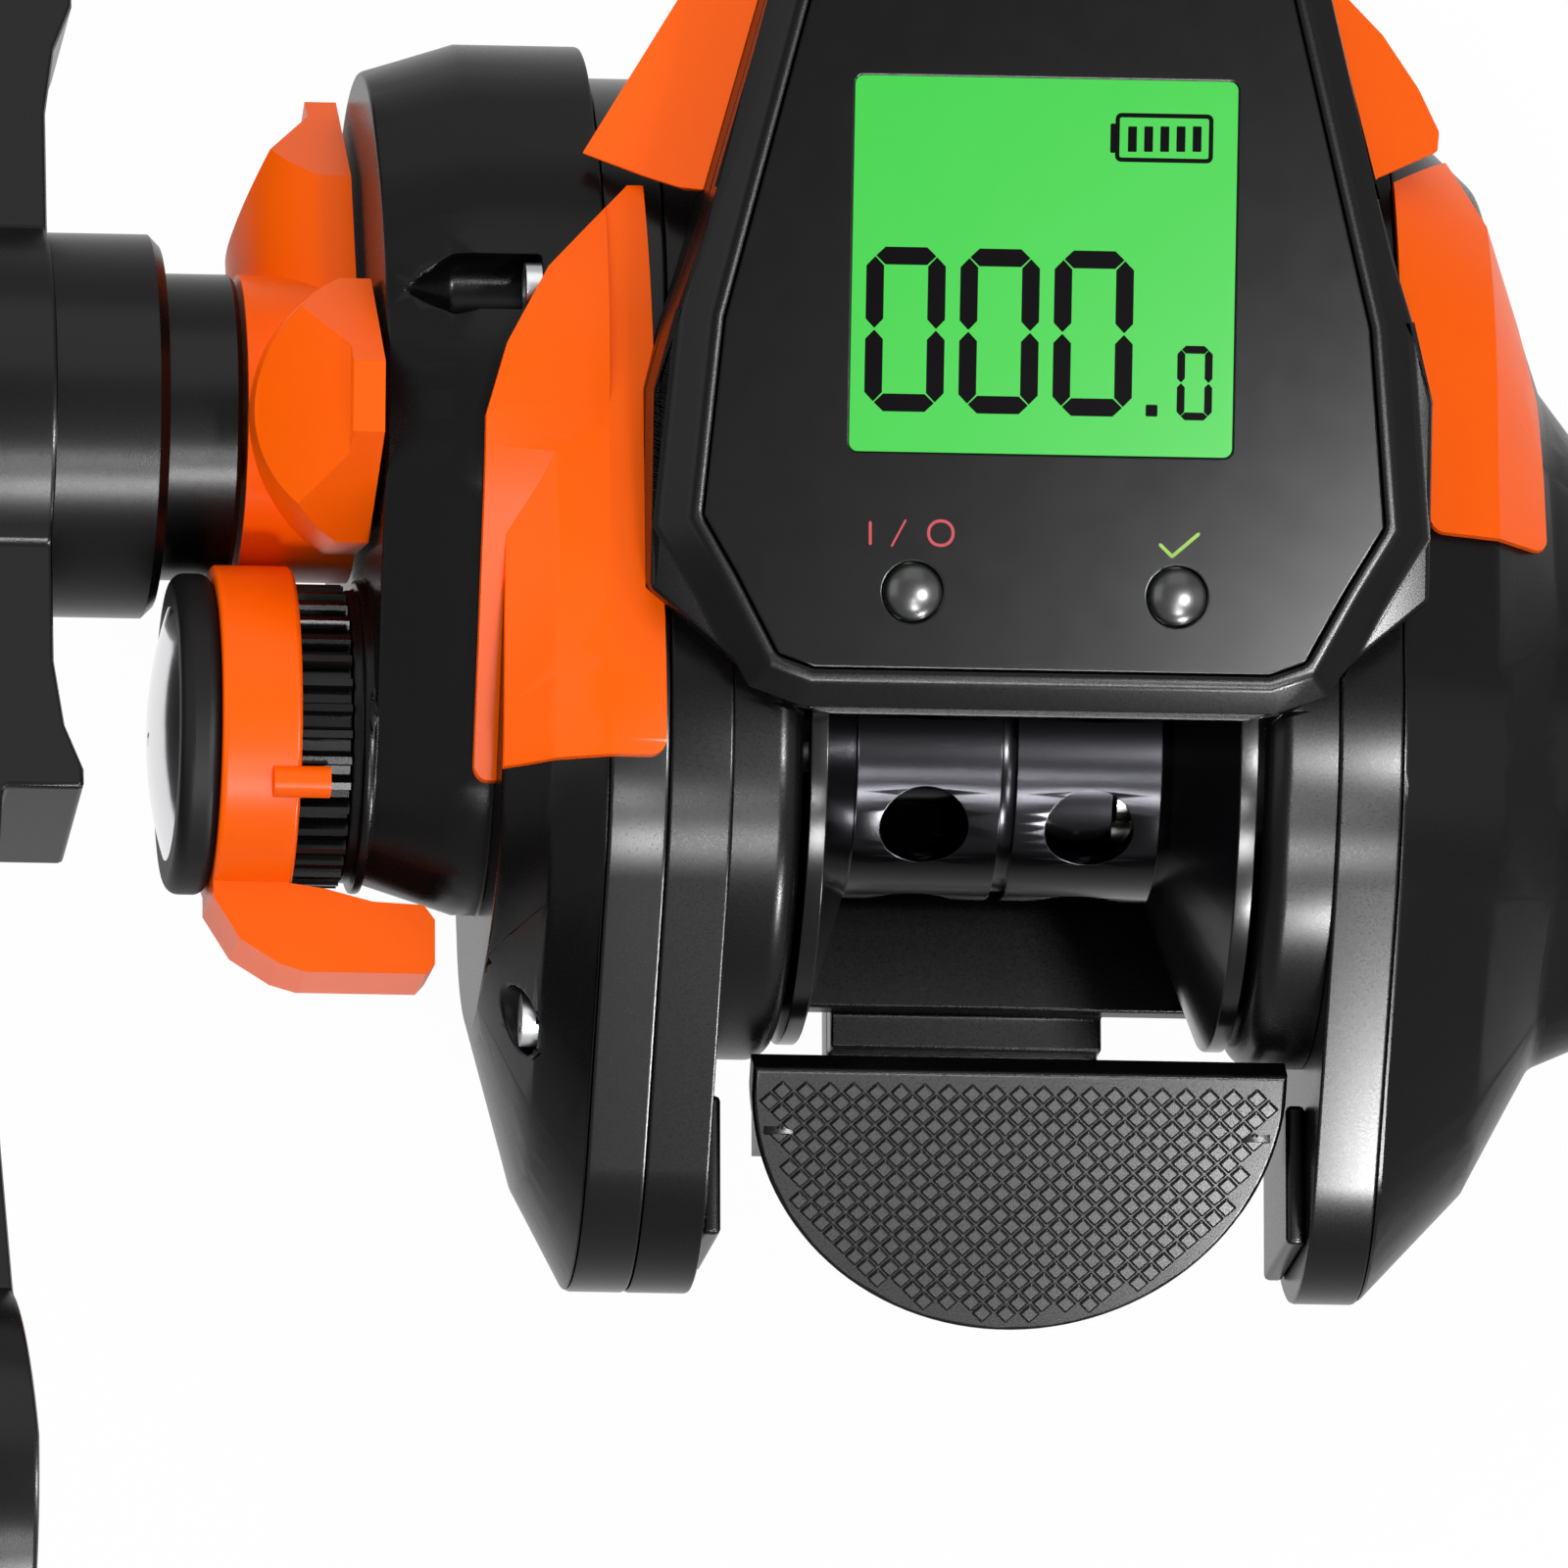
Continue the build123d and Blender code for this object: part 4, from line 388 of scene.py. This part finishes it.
def pick(piece, parts, wanted):
    """In edit mode, select only the faces or edges that pass a test."""
    bpy.ops.mesh.select_all(action="DESELECT")
    mesh = bmesh.from_edit_mesh(piece.data)
    for part in getattr(mesh, parts):
        if wanted(part):
            part.select_set(True)
    bmesh.update_edit_mesh(piece.data)


def bar(length, width):
    """A flat strip along X, whose two ends are drawn to points beyond its length."""
    bpy.ops.mesh.primitive_cube_add(size=1, location=(0, 0, 0))
    made = bpy.context.object
    made.scale = (length, width, INK_HEIGHT)
    bpy.ops.object.transform_apply(location=True, rotation=True, scale=True)
    bpy.ops.object.mode_set(mode="EDIT")
    for end in (-1, 1):
        pick(made, "faces", lambda face: face.normal.x * end > ALONG)
        bpy.ops.mesh.extrude_region_move(TRANSFORM_OT_translate={"value": (end * width / 2, 0, 0)})
        bpy.ops.transform.resize(value=(1, POINT_SHARE, 1))
    bpy.ops.object.mode_set(mode="OBJECT")
    return made


def placed_copy(source, matrix):
    """A copy with its own mesh, placed by a matrix."""
    made = source.copy()
    made.data = source.data.copy()
    made.matrix_world = matrix
    bpy.context.collection.objects.link(made)
    return made


def zero(left_px, right_px, top_px, bottom_px, stroke_mm):
    """The six bars of a nought between two corners of the photograph."""
    left, right, top, bottom = panel_box(left_px, right_px, top_px, bottom_px)
    stroke = stroke_mm * MM
    wide, high = right - left, top - bottom
    gap = JOINT_SHARE * stroke
    flat = bar(wide - 2 * stroke - 2 * gap, stroke)
    upright = bar(high / 2 - 1.5 * stroke - 2 * gap, stroke)
    quarter_turn = Matrix.Rotation(pi / 2, 4, "Z")
    bars = []
    for y in (top - stroke / 2, bottom + stroke / 2):
        bars.append(placed_copy(flat, PANEL @ Matrix.Translation(((left + right) / 2, y, 0))))
    for x in (left + stroke / 2, right - stroke / 2):
        for y in (top - stroke / 4 - high / 4, bottom + stroke / 4 + high / 4):
            bars.append(placed_copy(upright, PANEL @ Matrix.Translation((x, y, 0)) @ quarter_turn))
    for source in (flat, upright):
        bpy.data.objects.remove(source)
    return bars


def stepped(box, step, count):
    """A box of the picture and its next ones, each moved on by the step."""
    return [[side + move * place for side, move in zip(box, step)] for place in range(count)]


digits = []
for box in stepped(DIGIT_BOX, DIGIT_STEP, DIGIT_COUNT):
    digits += zero(*box, DIGIT_STROKE_MM)
digits += zero(*TENTH_BOX, TENTH_STROKE_MM)
print(len(digits), "bars")

# %% Decimal point and charge sign
POINT_BOX, POINT_CORNER_MM = (1169, 1181, 413, 425), 0.08
CELL_BOX, CELL_CORNER_MM, CELL_LINE_MM = (1138, 1238, 116, 166), 0.35, 0.25
CELL_TIP_BOX, CELL_TIP_CORNER_MM = (1133, 1138.5, 126, 156), 0.08
CHARGE_BOX, CHARGE_STEP, CHARGE_COUNT = (1151, 1160, 129, 155), (16.5, 16.5, 0, 0), 5
CHARGE_CORNER_MM = 0.05


def tile(left_px, right_px, top_px, bottom_px, corner_mm, steps=4):
    """A flat plate between two corners of the photograph, with rounded corners."""
    left, right, top, bottom = panel_box(left_px, right_px, top_px, bottom_px)
    bpy.ops.mesh.primitive_cube_add(size=1, location=(0, 0, 0))
    made = bpy.context.object
    made.scale = (right - left, top - bottom, INK_HEIGHT)
    bpy.ops.object.transform_apply(location=False, rotation=False, scale=True)
    bpy.ops.object.mode_set(mode="EDIT")
    pick(made, "edges",
         lambda edge: abs((edge.verts[0].co - edge.verts[1].co).normalized().z) > ALONG)
    bpy.ops.mesh.bevel(offset=corner_mm * MM, segments=steps)
    bpy.ops.object.mode_set(mode="OBJECT")
    made.matrix_world = PANEL @ Matrix.Translation(((left + right) / 2, (top + bottom) / 2, 0))
    return made


def outline(plate, line_mm):
    """Leave only a line along the rim of a flat plate."""
    select_only(plate)
    bpy.ops.object.mode_set(mode="EDIT")
    pick(plate, "faces", lambda face: abs(face.normal.z) > ALONG)
    bpy.ops.mesh.inset(thickness=line_mm * MM)
    bpy.ops.mesh.bridge_edge_loops()
    bpy.ops.object.mode_set(mode="OBJECT")
    return plate


def join(pieces, name, body, material):
    """Join pieces into one, with its place in its mesh, and let it ride."""
    bpy.ops.object.select_all(action="DESELECT")
    for piece in pieces:
        piece.select_set(True)
    bpy.context.view_layer.objects.active = pieces[0]
    if len(pieces) > 1:
        bpy.ops.object.join()
    made = bpy.context.object
    made.name = name
    bpy.ops.object.transform_apply(location=True, rotation=True, scale=True)
    made.data.materials.clear()
    made.data.materials.append(material)
    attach(made, body)
    return made


digits.append(tile(*POINT_BOX, POINT_CORNER_MM))
join(digits, "counter_digits", "reel_body", FINISH["crystal"])

cell = [outline(tile(*CELL_BOX, CELL_CORNER_MM), CELL_LINE_MM),
        tile(*CELL_TIP_BOX, CELL_TIP_CORNER_MM)]
for box in stepped(CHARGE_BOX, CHARGE_STEP, CHARGE_COUNT):
    cell.append(tile(*box, CHARGE_CORNER_MM))
join(cell, "charge_sign", "reel_body", FINISH["crystal"])
print("digits and charge sign on the display")

# %% [markdown]
# ## Signs on the panel
# Each button has a printed sign above it: a line and a ring for on and off, and a tick for setting.
# A print is a thin film, so each stroke is a flat strip a few hundredths of a millimetre high.

# %% Signs above the buttons
# The ends of each stroke and the ring's box, in pixels of the photograph
LINE_ENDS, SLASH_ENDS = ((888, 533), (888, 555)), ((910, 557), (924, 531))
TICK_SHORT_ENDS, TICK_LONG_ENDS = ((1184, 556), (1196, 568)), ((1197, 567), (1223, 545))
LINE_MM, SLASH_MM, TICK_MM = 0.17, 0.12, 0.2
RING_BOX, RING_CORNER_MM, RING_STEPS = (946, 974, 530, 558), 0.74, 12


def stroke(from_px, to_px, width_mm):
    """A strip between two points of the photograph."""
    start, end = Vector((*on_panel(*from_px), 0)), Vector((*on_panel(*to_px), 0))
    made = bar((end - start).length, width_mm * MM)
    made.matrix_world = (PANEL @ Matrix.Translation((start + end) / 2)
                         @ Matrix.Rotation(atan2(end.y - start.y, end.x - start.x), 4, "Z"))
    return made


ring = outline(tile(*RING_BOX, RING_CORNER_MM, RING_STEPS), LINE_MM)
join([stroke(*LINE_ENDS, LINE_MM), stroke(*SLASH_ENDS, SLASH_MM), ring], "power_sign", "reel_body",
     FINISH["red_ink"])
join([stroke(*TICK_SHORT_ENDS, TICK_MM), stroke(*TICK_LONG_ENDS, TICK_MM)], "set_sign", "reel_body",
     FINISH["green_ink"])
print("two signs printed on the panel")

# %% [markdown]
# ## Button domes
# The two buttons are small domes. A flat disc would catch no spot of light, so each dome is the upper
# half of a ball, as wide as the button and flattened to half its height, on a short wall that goes
# down into the panel.

# %% Domes of the two buttons
DOME_RADIUS = 1.6 * MM
DOME_SHARE = 0.5
DOME_WALL = 0.8 * MM
DOME_SEGMENTS, DOME_RINGS = 48, 24
# The ball is cut just above its middle ring of points
DOME_CUT = 0.0001 * MM
# Points this near the highest one are on the button's top
TOP_BAND = 0.01 * MM
panel_out = PANEL.to_3x3() @ Vector((0, 0, 1))


def dome(node, body):
    """A dome over the middle of a button's top, as wide as the button."""
    points = [corner.co for corner in NODES[node].data.vertices]
    reach = max(point.dot(panel_out) for point in points)
    crown = [point for point in points if point.dot(panel_out) > reach - TOP_BAND]
    middle = sum(crown, Vector()) / len(crown)
    bpy.ops.mesh.primitive_uv_sphere_add(segments=DOME_SEGMENTS, ring_count=DOME_RINGS,
                                         radius=DOME_RADIUS, location=(0, 0, 0))
    made = bpy.context.object
    bpy.ops.object.mode_set(mode="EDIT")
    bpy.ops.mesh.select_all(action="SELECT")
    bpy.ops.mesh.bisect(plane_co=(0, 0, DOME_CUT), plane_no=(0, 0, 1), clear_inner=True)
    bpy.ops.mesh.select_all(action="SELECT")
    bpy.ops.transform.resize(value=(1, 1, DOME_SHARE), center_override=(0, 0, 0))
    pick(made, "edges", lambda edge: edge.is_boundary)
    bpy.ops.mesh.extrude_region_move(TRANSFORM_OT_translate={"value": (0, 0, -DOME_WALL)})
    bpy.ops.mesh.edge_face_add()
    bpy.ops.object.mode_set(mode="OBJECT")
    bpy.ops.object.shade_smooth_by_angle(angle=SMOOTH_PLAIN)
    made.matrix_world = Matrix.Translation(middle) @ PANEL.to_3x3().to_4x4()
    made = join([made], f"{node}_dome", body, FINISH["clear_cap"])
    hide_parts(node)


dome("power_button", "button_power")
dome("set_button", "button_set")
print("two domes")

# %% [markdown]
# ## The thumb bar's grip
# The bar that frees the spool has a grip of small raised diamonds. One pyramid is modelled, with its
# point cut flat, and set out on a slanted grid. Only the pyramids that lie inside the half-moon are
# kept.

# %% Diamonds on the thumb bar
THUMB_TIP = radians(34)
THUMB_PLACE = (0.8 * MM, -19.3 * MM, 26.4 * MM)
THUMB = Matrix.Translation(THUMB_PLACE) @ Matrix.Rotation(THUMB_TIP, 4, "X")
GRIP_PITCH, GRIP_HEIGHT, GRIP_SINK = 1.09 * MM, 0.14 * MM, 0.02 * MM
# Shares of the pitch: the pyramid's radius at its base and its top, its bevel, and the step from one
# line of pyramids to the next
BASE_SHARE, TOP_SHARE, BEVEL_SHARE, GRID_SHARE = 0.61, 0.46, 0.05, 0.62
# Half the width, the depth and the straight band of the bar's half-moon face
MOON_HALF, MOON_DEEP, MOON_BAND = 15.2 * MM, 16.0 * MM, 1.8 * MM
# How far inside the round rim and the straight edge the grip stays
RIM_INSET, EDGE_INSET = 0.95 * MM, 0.9 * MM
# The grid is laid out wider than the half-moon, before it is cut
GRID_SPARE, GRID_EXTRA = 1.5, 2
# The rim is the circle through the lowest point and the two ends of the band
moon_radius = (MOON_HALF ** 2 + (MOON_DEEP - MOON_BAND) ** 2) / (2 * (MOON_DEEP - MOON_BAND))
moon_centre = -MOON_DEEP + moon_radius

bpy.ops.mesh.primitive_cone_add(vertices=4, radius1=BASE_SHARE * GRIP_PITCH,
                                radius2=TOP_SHARE * GRIP_PITCH, depth=GRIP_HEIGHT, location=(0, 0, 0))
diamond = bpy.context.object
bpy.ops.object.mode_set(mode="EDIT")
bpy.ops.mesh.select_all(action="SELECT")
bpy.ops.mesh.bevel(offset=BEVEL_SHARE * GRIP_PITCH, segments=1)
bpy.ops.object.mode_set(mode="OBJECT")
grip = []
steps = int(MOON_HALF / GRIP_PITCH * GRID_SPARE) + GRID_EXTRA
for row in range(-steps, steps):
    for column in range(-steps, steps):
        x = (row + column) * GRIP_PITCH * GRID_SHARE
        y = (row - column) * GRIP_PITCH * GRID_SHARE
        inside = x * x + (y - moon_centre) ** 2 < (moon_radius - RIM_INSET) ** 2
        if inside and y < -EDGE_INSET:
            place = Matrix.Translation((x, y, GRIP_HEIGHT / 2 - GRIP_SINK))
            grip.append(placed_copy(diamond, THUMB @ place))
bpy.data.objects.remove(diamond)
print(len(grip), "diamonds")
join(grip, "thumb_grip", "thumb", FINISH["black_satin"])

# %% [markdown]
# ## Light
# A product of this kind is shot on white between soft boxes. The floor and the sky look white to the
# camera, to gloss and through glass. To everything else the sky is a dim fill and the floor is pale
# grey, so the lamps shape the reel. A lamp that only shines adds its highlight and lights no colour.

# %% Floor and sky
WHITE = linear("#FFFFFF")
FLOOR_SIZE, FLOOR_DROP = 6, 0.5 * MM
FLOOR_GREY = "#E6E6E6"
# How white the floor and the sky look, and how much light the sky gives
FLOOR_WHITE, SKY_WHITE = 0.98, 1.0
SKY_LIGHT = 0.47


def shown_white(tree, lit, share):
    """Mix a lit closure with plain white for rays that look at the background."""
    path = add(tree, "ShaderNodeLightPath")
    looks = path.outputs["Is Camera Ray"]
    for kind in ("Is Transmission Ray", "Is Glossy Ray"):
        looks = add(tree, "ShaderNodeMath", {0: looks, 1: path.outputs[kind]},
                    operation="MAXIMUM").outputs[0]
    seen = add(tree, "ShaderNodeMath", {0: looks, 1: share}, operation="MULTIPLY")
    white = add(tree, "ShaderNodeEmission", {"Color": WHITE, "Strength": 1.0})
    mixed = add(tree, "ShaderNodeMixShader", {0: seen.outputs[0], 1: lit, 2: white.outputs[0]})
    return mixed.outputs[0]


bpy.ops.mesh.primitive_plane_add(size=FLOOR_SIZE, location=(0, 0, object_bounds()[0].z - FLOOR_DROP))
floor = bpy.context.object
floor.name = "floor"
floor_white = bpy.data.materials.new("floor_white")
floor_white.use_nodes = True
tree = floor_white.node_tree
tree.nodes.clear()
matt = add(tree, "ShaderNodeBsdfDiffuse", {"Color": linear(FLOOR_GREY)})
out = add(tree, "ShaderNodeOutputMaterial")
tree.links.new(shown_white(tree, matt.outputs[0], FLOOR_WHITE), out.inputs["Surface"])
floor.data.materials.append(floor_white)

sky = bpy.data.worlds.new("sky")
bpy.context.scene.world = sky
sky.use_nodes = True
tree = sky.node_tree
tree.nodes.clear()
dim = add(tree, "ShaderNodeBackground", {"Color": WHITE, "Strength": SKY_LIGHT})
out = add(tree, "ShaderNodeOutputWorld")
tree.links.new(shown_white(tree, dim.outputs[0], SKY_WHITE), out.inputs["Surface"])
print("white floor and sky")

# %% Lamps
PANEL_AIM, THUMB_AIM = (0.02, 0, 0.044), (0.026, -0.03, 0.02)


def soft_box(name, place, aim_at, size, power, shine=False):
    """A square lamp that faces a point, with its size in metres and its power in watts."""
    bpy.ops.object.light_add(type="AREA", location=place)
    lamp = bpy.context.object
    lamp.name = name
    lamp.data.size, lamp.data.energy = size, power
    lamp.rotation_euler = (Vector(aim_at) - Vector(place)).to_track_quat("-Z", "Y").to_euler()
    lamp.visible_camera = False
    lamp.visible_diffuse = not shine


soft_box("key_box", (0.1, -0.70, 0.72), SPOOL_AXIS, size=0.1, power=3.2)
soft_box("key_shine", (0.1, -0.73, 0.69), SPOOL_AXIS, size=0.15, power=6.0, shine=True)
soft_box("spool_shine", (0.05, -0.5, 0.87), SPOOL_AXIS, size=0.05, power=2.6, shine=True)
soft_box("left_box", (-0.9, 0.1, 0.6), SPOOL_AXIS, size=0.8, power=4.6)
soft_box("right_box", (0.9, -0.1, 0.6), SPOOL_AXIS, size=0.8, power=2.2)
soft_box("front_box", (0.0, 0.7, 0.8), SPOOL_AXIS, size=0.9, power=3.8)
soft_box("panel_shine", (0.0527, -0.04, 0.19), PANEL_AIM, size=0.019, power=0.7, shine=True)
soft_box("thumb_shine", (0.034, -0.0885, 0.058), THUMB_AIM, size=0.012, power=0.24, shine=True)
bpy.context.scene.view_settings.view_transform = "Standard"
print("eight soft boxes")
